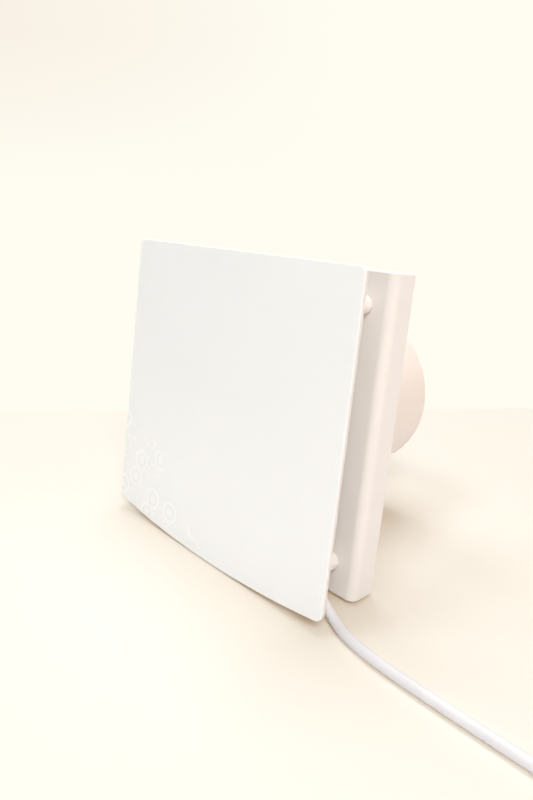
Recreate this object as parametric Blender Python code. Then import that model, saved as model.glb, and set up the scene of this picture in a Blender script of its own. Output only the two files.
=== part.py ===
"""Bathroom extractor fan with a flat front panel, axial impeller, back-draught damper and mains cord.

The pieces are modelled about the fan's own axis: X to the right, Y from the front panel to the duct, Z up,
with the front panel's outer face at Y = 0. One empty then leans the fan back, so that it stands on the low
point of the panel and on the casing's rear bottom edge. The cord lies on the floor, at Z = 0.
"""

import math

import bmesh
import bpy
import numpy as np
from mathutils import Matrix, Vector

MM = 0.001

# Clearance between pieces that seat on or in one another
GAP = 0.3 * MM

# Facets round a turned piece
DUCT_SIDES = 40
ROUND_SIDES = 24
SMALL_SIDES = 10

# Front panel
PANEL_WIDTH = 170 * MM
PANEL_TOP = 84.5 * MM
PANEL_SIDE_BOTTOM = 81 * MM
PANEL_SAG = 6.6 * MM
PANEL_THICKNESS = 3 * MM
PANEL_CORNER = 4 * MM
PANEL_EDGE = 0.8 * MM
PANEL_ARC_STEPS = 24

# Panel posts
POST_STANDOFF = 24.5 * MM
POST_RADIUS = 4.2 * MM
POST_FOOT_RADIUS = 4.8 * MM
POST_FROM_SIDE = 15.5 * MM
POST_FROM_TOP = 17 * MM
PEG_RADIUS = 2.5 * MM
PEG_LENGTH = 8 * MM

# Casing shell
CASING_SIDE = 165 * MM
CASING_DEPTH = 16.2 * MM
CASING_WALL = 2.5 * MM
CASING_FRONT_ROUND = 8 * MM
CASING_EDGE_ROUND = 2.4 * MM
BOSS_WALL = 2.4 * MM

# Rear housing and the duct spigot that laps over its collar
PLATE_THICKNESS = 2.5 * MM
PLATE_RECESS = 2.7 * MM
SPIGOT_RADIUS = 49 * MM
SPIGOT_WALL = 2 * MM
SPIGOT_LENGTH = 86.3 * MM
SPIGOT_LAP = 3.5 * MM
BELL_FLARE = 6 * MM
BELL_DEPTH = 9 * MM
BELL_STEPS = 3
WALL_HOLE_SPACING = 124 * MM
WALL_HOLE_RADIUS = 2.5 * MM

# Wall gasket
GASKET_WIDTH = 4 * MM
GASKET_INSET = 3.5 * MM

# Screws
SCREW_RADIUS = 1.5 * MM
SCREW_HEAD_RADIUS = 3 * MM
SCREW_HEAD_HEIGHT = 1.8 * MM
SCREW_BITE = 7 * MM
CASING_SCREW_FROM_SIDE = 11.5 * MM

# Motor housing, a can on four arms
COVER_CLEARANCE = 2.5 * MM
COVER_HEIGHT = 4.5 * MM
COVER_LIP = 2 * MM
CAN_RADIUS = 34 * MM
CAN_WALL = 2.5 * MM
CAN_LENGTH = 30 * MM
ARM_WIDTH = 9 * MM
ARM_THICKNESS = 4 * MM
ARM_EYE_RADIUS = 8 * MM
MOUNT_MARGIN = 13.5 * MM

# Vibration grommets
GROMMET_BODY_RADIUS = 4 * MM
GROMMET_FLANGE_RADIUS = 6.5 * MM
GROMMET_FLANGE = 0.9 * MM

# Motor inside
STACK_LENGTH = 14 * MM
STACK_FROM_FLOOR = 8 * MM
YOKE_WALL = 5.5 * MM
POLE_WIDTH = 20 * MM
WINDING_WALL = 4.2 * MM
WINDING_HEIGHT = 4.4 * MM
AIR_GAP = 0.5 * MM
ROTOR_RADIUS = 14 * MM
ROTOR_OVERHANG = 1 * MM
SHAFT_RADIUS = 2.5 * MM
BEARING_RADIUS = 6 * MM
BEARING_LENGTH = 5 * MM
BEARING_SEAT_WALL = 2.7 * MM

# Impeller
IMPELLER_BEHIND_CAN = 6 * MM
HUB_RADIUS = 20 * MM
HUB_LENGTH = 23 * MM
HUB_WALL = 2 * MM
HUB_BOSS_RADIUS = 6 * MM
BLADE_COUNT = 7
BLADE_TIP_GAP = 1.5 * MM
BLADE_THICKNESS = 1.6 * MM
BLADE_DEPTH = 17 * MM
BLADE_ROOT_ANGLE = math.radians(42)
BLADE_TIP_ANGLE = math.radians(62)
BLADE_STEPS = 3
NUT_RADIUS = 5 * MM
NUT_LENGTH = 4 * MM
SHAFT_BEYOND_NUT = 1.5 * MM

# Back-draught damper
DAMPER_CLEARANCE = 5 * MM
DAMPER_DEPTH = 12 * MM
DAMPER_RIM = 1.8 * MM
DAMPER_SEAT = 2.4 * MM
DAMPER_BAR_WIDTH = 9 * MM
DAMPER_BAR_DEPTH = 3 * MM
PIN_RADIUS = 1.5 * MM
PIN_BITE = 5.5 * MM
KNUCKLE_RADIUS = 3 * MM
KNUCKLE_LENGTH = 8 * MM
KNUCKLE_NEAR = 18 * MM
KNUCKLE_FAR = 28 * MM
LUG_LENGTH = 6 * MM
DAMPER_BOSS_LENGTH = 7 * MM
FLAP_THICKNESS = 1.2 * MM
FLAP_EDGE_GAP = 0.6 * MM
FLAP_FROM_PIN = 4 * MM
FLAP_ARC_STEPS = 16
SPRING_WIRE_RADIUS = 0.4 * MM
SPRING_COIL_RADIUS = 2.5 * MM
SPRING_CURLS = 4
SPRING_POINTS_PER_CURL = 8

# Terminal block, its cover and the cable clamp
TERMINAL_LEFT = 15 * MM
TERMINAL_RIGHT = 20 * MM
TERMINAL_HEIGHT = 19 * MM
TERMINAL_BELOW_INLET = 7 * MM
TERMINAL_FRONT_CLEARANCE = 5 * MM
TERMINAL_WALL = 1.6 * MM
TERMINAL_BLOCK_LENGTH = 16 * MM
TERMINAL_BLOCK_DEPTH = 12.5 * MM
TERMINAL_SCREW_FROM_LEFT = 7 * MM
CLAMP_LENGTH = 6 * MM
CLAMP_THICKNESS = 1.6 * MM
CLAMP_FROM_WALL = 2.5 * MM
CLAMP_SCREW_OFFSET = 5.4 * MM
CLAMP_SCREW_RADIUS = 1.2 * MM
CLAMP_HEAD_RADIUS = 1.9 * MM
CLAMP_HEAD_HEIGHT = 1.2 * MM

# Strain relief and motor lead
RELIEF_STUB_RADIUS = 3 * MM
RELIEF_STUB_LENGTH = 13 * MM
RELIEF_COLLAR_RADIUS = 5 * MM
RELIEF_COLLAR_LENGTH = 2 * MM
RELIEF_BOOT_RADIUS = 4.4 * MM
RELIEF_BOOT_END_RADIUS = 3.2 * MM
RELIEF_BOOT_LENGTH = 24 * MM
LEAD_RADIUS = 2 * MM
LEAD_BOW = 1.5 * MM
LEAD_POINTS = 7

# Mains cord, about 1.4 m long in all, its coil on the floor and its tie
CORD_DIAMETER = 5 * MM
CORD_POINT_SPACING = 2 * CORD_DIAMETER
CORD_LAY_Y = -68.8 * MM
COIL_CENTRE_X = 222 * MM
COIL_TURNS = 6.25
COIL_INNER_RADIUS = 22.5 * MM
COIL_POINTS_PER_TURN = 24
COIL_TURN_GAP = 0.5 * MM
TAIL_LENGTH = 30 * MM
TIE_THICKNESS = 0.9 * MM
TIE_WIDTH = 6 * MM
TIE_SLACK = 0.5 * MM

# Plug with two flat blades
PLUG_HEIGHT = 16 * MM
PLUG_WIDTH = 24 * MM
PLUG_LENGTH = 34 * MM
PLUG_CORNER = 4 * MM
GUARD_LENGTH = 20 * MM
GUARD_RADIUS = 5.5 * MM
GUARD_END_RADIUS = 3.2 * MM
BLADE_SPACING = 12.7 * MM
BLADE_WIDTH = 6.3 * MM
BLADE_GAUGE = 1.5 * MM
BLADE_LENGTH = 17 * MM

# Places along the fan's axis, from the panel's outer face
panel_back = PANEL_THICKNESS
casing_front = panel_back + POST_STANDOFF
casing_inside = casing_front + CASING_WALL
casing_rear = casing_front + CASING_DEPTH
plate_rear = casing_rear - PLATE_RECESS
plate_front = plate_rear - PLATE_THICKNESS
spigot_end = casing_rear + SPIGOT_LENGTH
cover_front = panel_back + COVER_CLEARANCE
can_front = cover_front + COVER_HEIGHT
can_rear = can_front + CAN_LENGTH
can_floor = can_rear - CAN_WALL
stack_rear = can_floor - STACK_FROM_FLOOR
stack_front = stack_rear - STACK_LENGTH
arm_rear = casing_front - 2 * GAP - GROMMET_FLANGE
arm_front = arm_rear - ARM_THICKNESS
hub_front = can_rear + IMPELLER_BEHIND_CAN
hub_rear = hub_front + HUB_LENGTH
nut_rear = hub_rear + GAP + NUT_LENGTH
shaft_end = nut_rear + SHAFT_BEYOND_NUT
damper_front = shaft_end + DAMPER_CLEARANCE
hinge_y = damper_front + DAMPER_BAR_DEPTH + GAP + KNUCKLE_RADIUS

# Radii and heights that several pieces share
casing_half = CASING_SIDE / 2
panel_low = PANEL_SIDE_BOTTOM + PANEL_SAG
duct_radius = SPIGOT_RADIUS - SPIGOT_WALL
inlet_radius = duct_radius + BELL_FLARE
can_inside = CAN_RADIUS - CAN_WALL
mount_offset = (inlet_radius + MOUNT_MARGIN) / math.sqrt(2)
post_x = casing_half - POST_FROM_SIDE
post_z = casing_half - POST_FROM_TOP
casing_screw_offset = casing_half - CASING_SCREW_FROM_SIDE
damper_radius = duct_radius - GAP
damper_inside = damper_radius - DAMPER_RIM
flap_radius = damper_inside - FLAP_EDGE_GAP
terminal_top = -inlet_radius - TERMINAL_BELOW_INLET
terminal_bottom = terminal_top - TERMINAL_HEIGHT
terminal_front = panel_back + TERMINAL_FRONT_CLEARANCE
clamp_rear = terminal_front + TERMINAL_WALL + 2 * GAP + CLAMP_HEAD_HEIGHT + CLAMP_THICKNESS
cord_y = clamp_rear + GAP + RELIEF_STUB_RADIUS
cord_z = 0.5 * (terminal_top + terminal_bottom)
relief_end = TERMINAL_RIGHT + GAP + RELIEF_COLLAR_LENGTH + RELIEF_BOOT_LENGTH
cord_radius = CORD_DIAMETER / 2

# How the fan leans back on the floor, with the middle of its box over the origin
lean = math.atan2(panel_low - casing_half, casing_rear - panel_back)
box_front = PANEL_EDGE * (math.cos(lean) - 1) - (panel_low - PANEL_EDGE) * math.sin(lean)
box_rear = spigot_end * math.cos(lean) + SPIGOT_RADIUS * math.sin(lean)
stand_height = panel_back * math.sin(lean) + panel_low * math.cos(lean)
fan_place = Matrix.Translation((0, -(box_front + box_rear) / 2, stand_height))
fan_to_world = fan_place @ Matrix.Rotation(-lean, 4, "X")


def clear_scene():
    for obj in list(bpy.data.objects):
        bpy.data.objects.remove(obj)


def make_material(name, colour, roughness, metallic=0.0):
    material = bpy.data.materials.new(name)
    material.use_nodes = True
    shader = material.node_tree.nodes["Principled BSDF"]
    shader.inputs["Base Color"].default_value = (*colour, 1)
    shader.inputs["Roughness"].default_value = roughness
    shader.inputs["Metallic"].default_value = metallic
    return material


def add_object(name, data, material, parent):
    obj = bpy.data.objects.new(name, data)
    bpy.context.scene.collection.objects.link(obj)
    obj.parent = parent
    if material:
        data.materials.append(material)
    return obj


def add_piece(name, bm, material, parent):
    """A named sub-part from a bmesh, shaded smooth except at its sharp edges."""
    bmesh.ops.recalc_face_normals(bm, faces=bm.faces)
    mesh = bpy.data.meshes.new(name)
    bm.to_mesh(mesh)
    bm.free()
    mesh.shade_smooth()
    mesh.set_sharp_from_angle(angle=math.radians(35))
    return add_object(name, mesh, material, parent)


def shape_with(obj, name, bm, operation):
    """Adds a Boolean to obj, with the bmesh as a hidden wire helper."""
    helper = add_piece(name, bm, None, obj.parent)
    helper.hide_render = True
    helper.display_type = "WIRE"
    modifier = obj.modifiers.new(name, "BOOLEAN")
    modifier.operation = operation
    modifier.object = helper


def turned(profile, x=0.0, z=0.0, sides=ROUND_SIDES, axis="Y"):
    """A solid turned about a line along Y through (x, z), from (radius, place along the line) points.
    A profile whose ends lie on the line makes a solid piece, and any other one closes into a ring."""
    bm = bmesh.new()
    verts = [bm.verts.new((radius, along, 0)) for radius, along in profile]
    ring = profile[0][0] > 0 or profile[-1][0] > 0
    pairs = list(zip(verts, verts[1:] + verts[:1])) if ring else list(zip(verts, verts[1:]))
    edges = [bm.edges.new(pair) for pair in pairs]
    about = {"axis": (0, 1, 0), "cent": (0, 0, 0), "angle": 2 * math.pi}
    bmesh.ops.spin(bm, geom=verts + edges, steps=sides, use_merge=True, **about)
    bmesh.ops.remove_doubles(bm, verts=bm.verts, dist=1e-7)
    if axis == "X":
        bm.transform(Matrix.Rotation(-math.pi / 2, 4, "Z"))
    if axis == "Z":
        bm.transform(Matrix.Rotation(math.pi / 2, 4, "X"))
    bm.transform(Matrix.Translation((x, 0, z)))
    return bm


def rod(radius, start, end, x=0.0, z=0.0, sides=ROUND_SIDES):
    return turned([(0, start), (radius, start), (radius, end), (0, end)], x, z, sides)


def prism(outline, start, end, along="Y"):
    """A straight solid from an outline of (X, Z) points along Y, or of (X, Y) points along Z."""
    bm = bmesh.new()
    place = {"Y": lambda a, b: (a, start, b), "Z": lambda a, b: (a, b, start)}[along]
    face = bm.faces.new([bm.verts.new(place(a, b)) for a, b in outline])
    grown = bmesh.ops.extrude_face_region(bm, geom=[face])["geom"]
    step = Vector((0, end - start, 0)) if along == "Y" else Vector((0, 0, end - start))
    bmesh.ops.translate(bm, verts=[g for g in grown if isinstance(g, bmesh.types.BMVert)], vec=step)
    return bm


def block(x, y, z):
    """A box from its (low, high) limits along each axis."""
    return prism([(x[0], z[0]), (x[1], z[0]), (x[1], z[1]), (x[0], z[1])], y[0], y[1])


def merged(*parts):
    """One bmesh that holds several separate bodies."""
    whole = bmesh.new()
    for part in parts:
        mesh = bpy.data.meshes.new("part")
        part.to_mesh(mesh)
        part.free()
        whole.from_mesh(mesh)
        bpy.data.meshes.remove(mesh)
    return whole


def arc(centre, radius, start, end, steps):
    """Points on a circle, with the angles in degrees."""
    angles = np.radians(np.linspace(start, end, steps + 1))
    return [(centre[0] + radius * math.cos(a), centre[1] + radius * math.sin(a)) for a in angles]


def round_edges(bm, edges, width, segments):
    bmesh.ops.bevel(bm, geom=edges, offset=width, segments=segments, profile=0.5, affect="EDGES")


def edges_where(bm, test):
    """The edges whose two ends both pass a test on their position."""
    return [e for e in bm.edges if all(test(v.co) for v in e.verts)]


def near(value, target):
    return abs(value - target) < 1e-6


def tube(name, points, radius, resolution, material, parent):
    """A round cord or wire with closed ends along its points."""
    curve = bpy.data.curves.new(name, "CURVE")
    curve.dimensions = "3D"
    curve.bevel_depth = radius
    curve.bevel_resolution = resolution
    curve.use_fill_caps = True
    spline = curve.splines.new("POLY")
    spline.points.add(len(points) - 1)
    for point, place in zip(spline.points, points):
        point.co = (*place, 1)
    spline.use_smooth = True
    return add_object(name, curve, material, parent)


def smooth_path(route, spacing):
    """Evenly spaced points on a smooth curve through the route's points."""
    knots = np.array([tuple(p) for p in route])
    ends = np.vstack([2 * knots[0] - knots[1], knots, 2 * knots[-1] - knots[-2]])
    fine = []
    for before, start, end, after in zip(ends, ends[1:], ends[2:], ends[3:]):
        for t in np.linspace(0, 1, 40, endpoint=False):
            bend = 2 * before - 5 * start + 4 * end - after
            twist = 3 * start - before - 3 * end + after
            fine.append(start + 0.5 * t * (end - before + t * (bend + t * twist)))
    fine = np.vstack([fine, knots[-1]])
    travel = np.concatenate([[0], np.cumsum(np.linalg.norm(np.diff(fine, axis=0), axis=1))])
    stops = np.linspace(0, travel[-1], max(2, round(travel[-1] / spacing)) + 1)
    return np.column_stack([np.interp(stops, travel, fine[:, k]) for k in range(3)])


def path_length(points):
    return float(np.linalg.norm(np.diff(np.array(points), axis=0), axis=1).sum())


def least_self_gap(points, radius, skip):
    """The narrowest space between a tube and itself, over points that are more than skip points apart."""
    fine = np.vstack([np.linspace(a, b, 4, endpoint=False) for a, b in zip(points, points[1:])])
    spans = np.linalg.norm(fine[:, None] - fine[None], axis=2)
    order = np.arange(len(fine))
    spans[np.abs(order[:, None] - order[None]) <= 4 * skip] = np.inf
    return float(spans.min()) - 2 * radius


def screw(name, head_y, toward, length, x, z, material, parent, radius=SCREW_RADIUS):
    """A pan-head screw along Y. Its head bears at head_y, and toward is +1 if its shank points to +Y."""
    head = SCREW_HEAD_RADIUS
    crown = SCREW_HEAD_HEIGHT * toward
    profile = [
        (0, head_y - crown),
        (0.7 * head, head_y - crown),
        (head, head_y - 0.6 * crown),
        (head, head_y),
        (radius, head_y),
        (radius, head_y + toward * (length - radius)),
        (0, head_y + toward * length),
    ]
    return add_piece(name, turned(profile, x, z, SMALL_SIDES), material, parent)


def build_front_panel(fan, finish):
    half = PANEL_WIDTH / 2
    arc_radius = (half**2 + PANEL_SAG**2) / (2 * PANEL_SAG)
    reach = math.degrees(math.asin(half / arc_radius))
    centre = (0, arc_radius - panel_low)
    bottom = arc(centre, arc_radius, 270 - reach, 270 + reach, PANEL_ARC_STEPS)
    bm = prism(bottom + [(half, PANEL_TOP), (-half, PANEL_TOP)], 0, PANEL_THICKNESS)
    corner = edges_where(bm, lambda co: near(abs(co.x), half))
    round_edges(bm, [e for e in corner if not near(e.verts[0].co.y, e.verts[1].co.y)], PANEL_CORNER, 4)
    round_edges(bm, edges_where(bm, lambda co: near(co.y, 0)), PANEL_EDGE, 2)
    add_piece("front_panel", bm, finish, fan)


def corners():
    """The names of the four corners, with the signs of their X and Z."""
    return [
        ("upper_left", -1, 1),
        ("upper_right", 1, 1),
        ("lower_left", -1, -1),
        ("lower_right", 1, -1),
    ]


def build_panel_posts(fan, finish):
    start = panel_back + GAP
    shoulder = casing_front - GAP
    tip = shoulder + PEG_LENGTH
    profile = [
        (0, start),
        (POST_RADIUS, start),
        (POST_RADIUS, 0.5 * (start + shoulder)),
        (POST_FOOT_RADIUS, shoulder),
        (PEG_RADIUS, shoulder),
        (PEG_RADIUS, tip - 0.4 * PEG_RADIUS),
        (0.6 * PEG_RADIUS, tip),
        (0, tip),
    ]
    for name, x, z in corners():
        add_piece("panel_post_" + name, turned(profile, x * post_x, z * post_z, SMALL_SIDES), finish, fan)


def casing_block(inset, rear):
    """The casing's outer shape, or the same shape drawn in by inset, open-ended at rear."""
    half = casing_half - inset
    front = casing_front + inset
    turn = CASING_FRONT_ROUND - inset
    outline = [(half, rear)]
    outline += arc((half - turn, front + turn), turn, 0, -90, 4)
    outline += arc((turn - half, front + turn), turn, -90, -180, 4)
    outline += [(-half, rear)]
    return prism(outline, -half, half, along="Z")


def build_casing_shell(fan, finish):
    bm = casing_block(0, casing_rear)
    rim = edges_where(bm, lambda co: near(abs(co.z), casing_half))
    rim = [e for e in rim if near(e.verts[0].co.z, e.verts[1].co.z)]
    rear_rim = edges_where(bm, lambda co: near(co.y, casing_rear))
    round_edges(bm, [e for e in rim if e not in rear_rim], CASING_EDGE_ROUND, 2)
    shell = add_piece("casing_shell", bm, finish, fan)
    shape_with(shell, "casing_hollow", casing_block(CASING_WALL, casing_rear + CASING_WALL), "DIFFERENCE")
    start = casing_inside - CASING_WALL / 2
    boss_radius = SCREW_RADIUS + BOSS_WALL
    screws = [(mount_offset * x, mount_offset * z, casing_inside + 6 * MM) for _, x, z in corners()]
    screws += [(x, z, plate_front - GAP) for x, z in casing_screw_places()]
    bosses = [rod(boss_radius, start, end, x, z, SMALL_SIDES) for x, z, end in screws]
    shape_with(shell, "casing_bosses", merged(*bosses), "UNION")
    ahead = casing_front - CASING_WALL
    inlet = rod(inlet_radius, ahead, casing_rear, sides=DUCT_SIDES)
    shape_with(shell, "casing_inlet", inlet, "DIFFERENCE")
    holes = [(x, z, SCREW_RADIUS + GAP, ahead) for x, z, _ in screws[:4]]
    holes += [(x, z, SCREW_RADIUS + GAP, casing_inside) for x, z, _ in screws[4:]]
    holes += [(x * post_x, z * post_z, PEG_RADIUS + GAP, ahead) for _, x, z in corners()]
    drills = [rod(radius, front, casing_rear, x, z, SMALL_SIDES) for x, z, radius, front in holes]
    shape_with(shell, "casing_holes", merged(*drills), "DIFFERENCE")


def casing_screw_places():
    reach = casing_screw_offset
    return [(0, reach), (0, -reach), (-reach, 0), (reach, 0)]


def bell_mouth(offset):
    """The rounded air inlet: (radius, Y) points from its wide front edge to the straight duct."""
    front = casing_inside + GAP
    points = []
    for angle in np.linspace(0, math.pi / 2, BELL_STEPS + 1):
        radius = duct_radius + offset + (BELL_FLARE - GAP) * (1 - math.sin(angle))
        points.append((radius, front + BELL_DEPTH * (1 - math.cos(angle))))
    return points


def build_rear_housing(fan, finish):
    half = casing_half - CASING_WALL - GAP
    plate = block((-half, half), (plate_front, plate_rear), (-half, half))
    housing = add_piece("rear_housing", plate, finish, fan)
    collar_end = plate_rear + SPIGOT_LAP
    collar = duct_radius + SPIGOT_WALL / 2
    outside = [(0, casing_inside + GAP)] + bell_mouth(SPIGOT_WALL)
    outside += [(SPIGOT_RADIUS, plate_rear), (collar, plate_rear), (collar, collar_end), (0, collar_end)]
    shape_with(housing, "housing_tube", turned(outside, sides=DUCT_SIDES), "UNION")
    inside = bell_mouth(0)
    inside = [(0, inside[0][1] - SPIGOT_WALL), (inside[0][0], inside[0][1] - SPIGOT_WALL)] + inside
    inside += [(duct_radius, collar_end + SPIGOT_WALL), (0, collar_end + SPIGOT_WALL)]
    bore = turned(inside, sides=DUCT_SIDES)
    wall_hole = WALL_HOLE_SPACING / 2
    holes = [(wall_hole * x, wall_hole * z, WALL_HOLE_RADIUS) for _, x, z in corners()]
    holes += [(x, z, SCREW_RADIUS + GAP) for x, z in casing_screw_places()]
    drills = [rod(r, plate_front - GAP, plate_rear + GAP, x, z, SMALL_SIDES) for x, z, r in holes]
    shape_with(housing, "housing_holes", merged(bore, *drills), "DIFFERENCE")


def build_duct_spigot(fan, finish):
    start = plate_rear + GAP
    lap_end = plate_rear + SPIGOT_LAP + GAP
    lap = duct_radius + SPIGOT_WALL / 2 + GAP
    rim = 0.4 * SPIGOT_WALL
    profile = [
        (SPIGOT_RADIUS, start),
        (SPIGOT_RADIUS, spigot_end - rim),
        (SPIGOT_RADIUS - rim, spigot_end),
        (duct_radius, spigot_end),
        (duct_radius, lap_end),
        (lap, lap_end),
        (lap, start),
    ]
    add_piece("duct_spigot", turned(profile, sides=DUCT_SIDES), finish, fan)


def build_wall_gasket(fan, finish):
    start = plate_rear + GAP
    end = casing_rear - GAP
    outer = casing_half - GASKET_INSET
    inner = outer - GASKET_WIDTH
    gasket = add_piece("wall_gasket", block((-outer, outer), (start, end), (-outer, outer)), finish, fan)
    hole = block((-inner, inner), (start - GAP, end + GAP), (-inner, inner))
    shape_with(gasket, "gasket_hole", hole, "DIFFERENCE")


def build_casing_screws(fan, finish):
    for name, (x, z) in zip(("top", "bottom", "left", "right"), casing_screw_places()):
        reach = plate_rear + GAP - casing_inside - GAP
        screw("casing_screw_" + name, plate_rear + GAP, -1, reach, x, z, finish, fan)


def build_motor_housing(fan, finish):
    seat = BEARING_RADIUS + GAP
    boss = seat + BEARING_SEAT_WALL
    shaft_hole = SHAFT_RADIUS + 2 * GAP
    boss_front = can_floor - BEARING_LENGTH - GAP
    profile = [
        (CAN_RADIUS, can_front),
        (CAN_RADIUS, can_rear),
        (shaft_hole, can_rear),
        (shaft_hole, can_floor),
        (seat, can_floor),
        (seat, boss_front),
        (boss, boss_front),
        (boss, can_floor),
        (can_inside, can_floor),
        (can_inside, can_front),
    ]
    housing = add_piece("motor_housing", turned(profile), finish, fan)
    reach = mount_offset * math.sqrt(2)
    half = ARM_WIDTH / 2
    arms = []
    for quarter in range(4):
        bar = block((CAN_RADIUS - CAN_WALL / 2, reach), (arm_front, arm_rear), (-half, half))
        bar.transform(Matrix.Rotation(math.radians(45 + 90 * quarter), 4, "Y"))
        arms.append(bar)
    shape_with(housing, "motor_arms", merged(*arms), "UNION")
    places = [(mount_offset * x, mount_offset * z) for _, x, z in corners()]
    eyes = [rod(ARM_EYE_RADIUS, arm_front, arm_rear, x, z, SMALL_SIDES) for x, z in places]
    shape_with(housing, "motor_arm_eyes", merged(*eyes), "UNION")
    hole = GROMMET_BODY_RADIUS + GAP
    holes = [rod(hole, arm_front - GAP, arm_rear + GAP, x, z, SMALL_SIDES) for x, z in places]
    shape_with(housing, "motor_arm_holes", merged(*holes), "DIFFERENCE")


def build_motor_cover(fan, finish):
    seat = BEARING_RADIUS + GAP
    boss = seat + BEARING_SEAT_WALL
    lip = can_inside - GAP
    inside = cover_front + CAN_WALL
    boss_end = inside + GAP + BEARING_LENGTH
    profile = [
        (0, cover_front),
        (CAN_RADIUS - CAN_WALL, cover_front),
        (CAN_RADIUS, cover_front + CAN_WALL),
        (CAN_RADIUS, can_front - GAP),
        (lip, can_front - GAP),
        (lip, can_front + COVER_LIP),
        (lip - CAN_WALL, can_front + COVER_LIP),
        (lip - CAN_WALL, inside),
        (boss, inside),
        (boss, boss_end),
        (seat, boss_end),
        (seat, inside),
        (0, inside),
    ]
    add_piece("motor_cover", turned(profile), finish, fan)


def build_motor_mounts(fan, rubber, steel):
    rear = casing_front - GAP
    front = arm_front - GAP - GROMMET_FLANGE
    bore = SCREW_RADIUS + GAP
    profile = [
        (bore, front),
        (GROMMET_FLANGE_RADIUS, front),
        (GROMMET_FLANGE_RADIUS, arm_front - GAP),
        (GROMMET_BODY_RADIUS, arm_front - GAP),
        (GROMMET_BODY_RADIUS, arm_rear + GAP),
        (GROMMET_FLANGE_RADIUS, arm_rear + GAP),
        (GROMMET_FLANGE_RADIUS, rear),
        (bore, rear),
    ]
    head = front - GAP
    length = casing_inside - head + 0.5 * SCREW_BITE
    for name, x, z in corners():
        place = (mount_offset * x, mount_offset * z)
        add_piece("vibration_grommet_" + name, turned(profile, *place, SMALL_SIDES), rubber, fan)
        screw("bracket_screw_" + name, head, 1, length, *place, steel, fan)


def build_motor_core(fan, steel, copper, bronze):
    outer = can_inside - GAP
    inner = outer - YOKE_WALL
    yoke = [(inner, stack_front), (outer, stack_front), (outer, stack_rear), (inner, stack_rear)]
    stator = add_piece("stator_core", turned(yoke), steel, fan)
    half = POLE_WIDTH / 2
    bore = ROTOR_RADIUS + AIR_GAP
    inside_yoke = inner + YOKE_WALL / 2
    pole_end = math.sqrt(inside_yoke**2 - half**2)
    stack = (stack_front, stack_rear)
    poles = [block((-half, half), stack, sorted((0.7 * s * bore, s * pole_end))) for s in (1, -1)]
    shape_with(stator, "stator_poles", merged(*poles), "UNION")
    drill = rod(bore, stack_front - GAP, stack_rear + GAP)
    shape_with(stator, "stator_bore", drill, "DIFFERENCE")
    hole = half + GAP
    outside = hole + WINDING_WALL
    low = bore + 2 * GAP
    for name, side in (("upper_winding", 1), ("lower_winding", -1)):
        height = sorted((side * low, side * (low + WINDING_HEIGHT)))
        depth = (stack_front - GAP - WINDING_WALL, stack_rear + GAP + WINDING_WALL)
        winding = add_piece(name, block((-outside, outside), depth, height), copper, fan)
        inside = (stack_front - GAP, stack_rear + GAP)
        tunnel = block((-hole, hole), inside, (height[0] - GAP, height[1] + GAP))
        shape_with(winding, name + "_tunnel", tunnel, "DIFFERENCE")
    race = SHAFT_RADIUS + GAP
    front = cover_front + CAN_WALL + GAP
    rear = can_floor - GAP - BEARING_LENGTH
    for name, start in (("front_bearing", front), ("rear_bearing", rear)):
        end = start + BEARING_LENGTH
        ring = [(race, start), (BEARING_RADIUS, start), (BEARING_RADIUS, end), (race, end)]
        add_piece(name, turned(ring, sides=SMALL_SIDES), bronze, fan)


def build_rotor(fan, steel):
    start = stack_front - ROTOR_OVERHANG
    end = stack_rear + ROTOR_OVERHANG
    bore = SHAFT_RADIUS + GAP
    core = [(bore, start), (ROTOR_RADIUS, start), (ROTOR_RADIUS, end), (bore, end)]
    add_piece("rotor_core", turned(core), steel, fan)
    tip = cover_front + CAN_WALL + 2 * GAP
    shaft = [
        (0, tip),
        (SHAFT_RADIUS, tip),
        (SHAFT_RADIUS, shaft_end - 0.4 * SHAFT_RADIUS),
        (0.6 * SHAFT_RADIUS, shaft_end),
        (0, shaft_end),
    ]
    add_piece("motor_shaft", turned(shaft, sides=SMALL_SIDES), steel, fan)


def fan_blade():
    """One twisted blade along +X, from inside the hub's wall to the tip."""
    bm = bmesh.new()
    tip = duct_radius - BLADE_TIP_GAP
    root = HUB_RADIUS - HUB_WALL / 2
    middle = 0.5 * (hub_front + hub_rear)
    rows = []
    for share in np.linspace(0, 1, BLADE_STEPS + 1):
        radius = root + share * (tip - root)
        angle = BLADE_ROOT_ANGLE + share * (BLADE_TIP_ANGLE - BLADE_ROOT_ANGLE)
        chord = BLADE_DEPTH / math.cos(BLADE_ROOT_ANGLE)
        along = np.linspace(-0.5, 0.5, BLADE_STEPS + 1) * chord
        camber = 0.06 * chord * (1 - (2 * along / chord) ** 2)
        for side in (1, -1):
            lift = camber + side * BLADE_THICKNESS / 2
            across = along * math.sin(angle) - lift * math.cos(angle)
            depth = along * math.cos(angle) + lift * math.sin(angle)
            row = []
            for turn, step in zip(across / radius, depth):
                place = (radius * math.cos(turn), middle + step, radius * math.sin(turn))
                row.append(bm.verts.new(place))
            rows.append(row)
    for a, b in zip(rows, rows[2:]):
        for k in range(BLADE_STEPS):
            bm.faces.new((a[k], a[k + 1], b[k + 1], b[k]))
    for front, back in zip(rows[::2], rows[1::2]):
        if front in (rows[0], rows[-2]):
            for k in range(BLADE_STEPS):
                bm.faces.new((front[k], front[k + 1], back[k + 1], back[k]))
    for i in range(0, len(rows) - 2, 2):
        for k in (0, BLADE_STEPS):
            bm.faces.new((rows[i][k], rows[i + 2][k], rows[i + 3][k], rows[i + 1][k]))
    return bm


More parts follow.
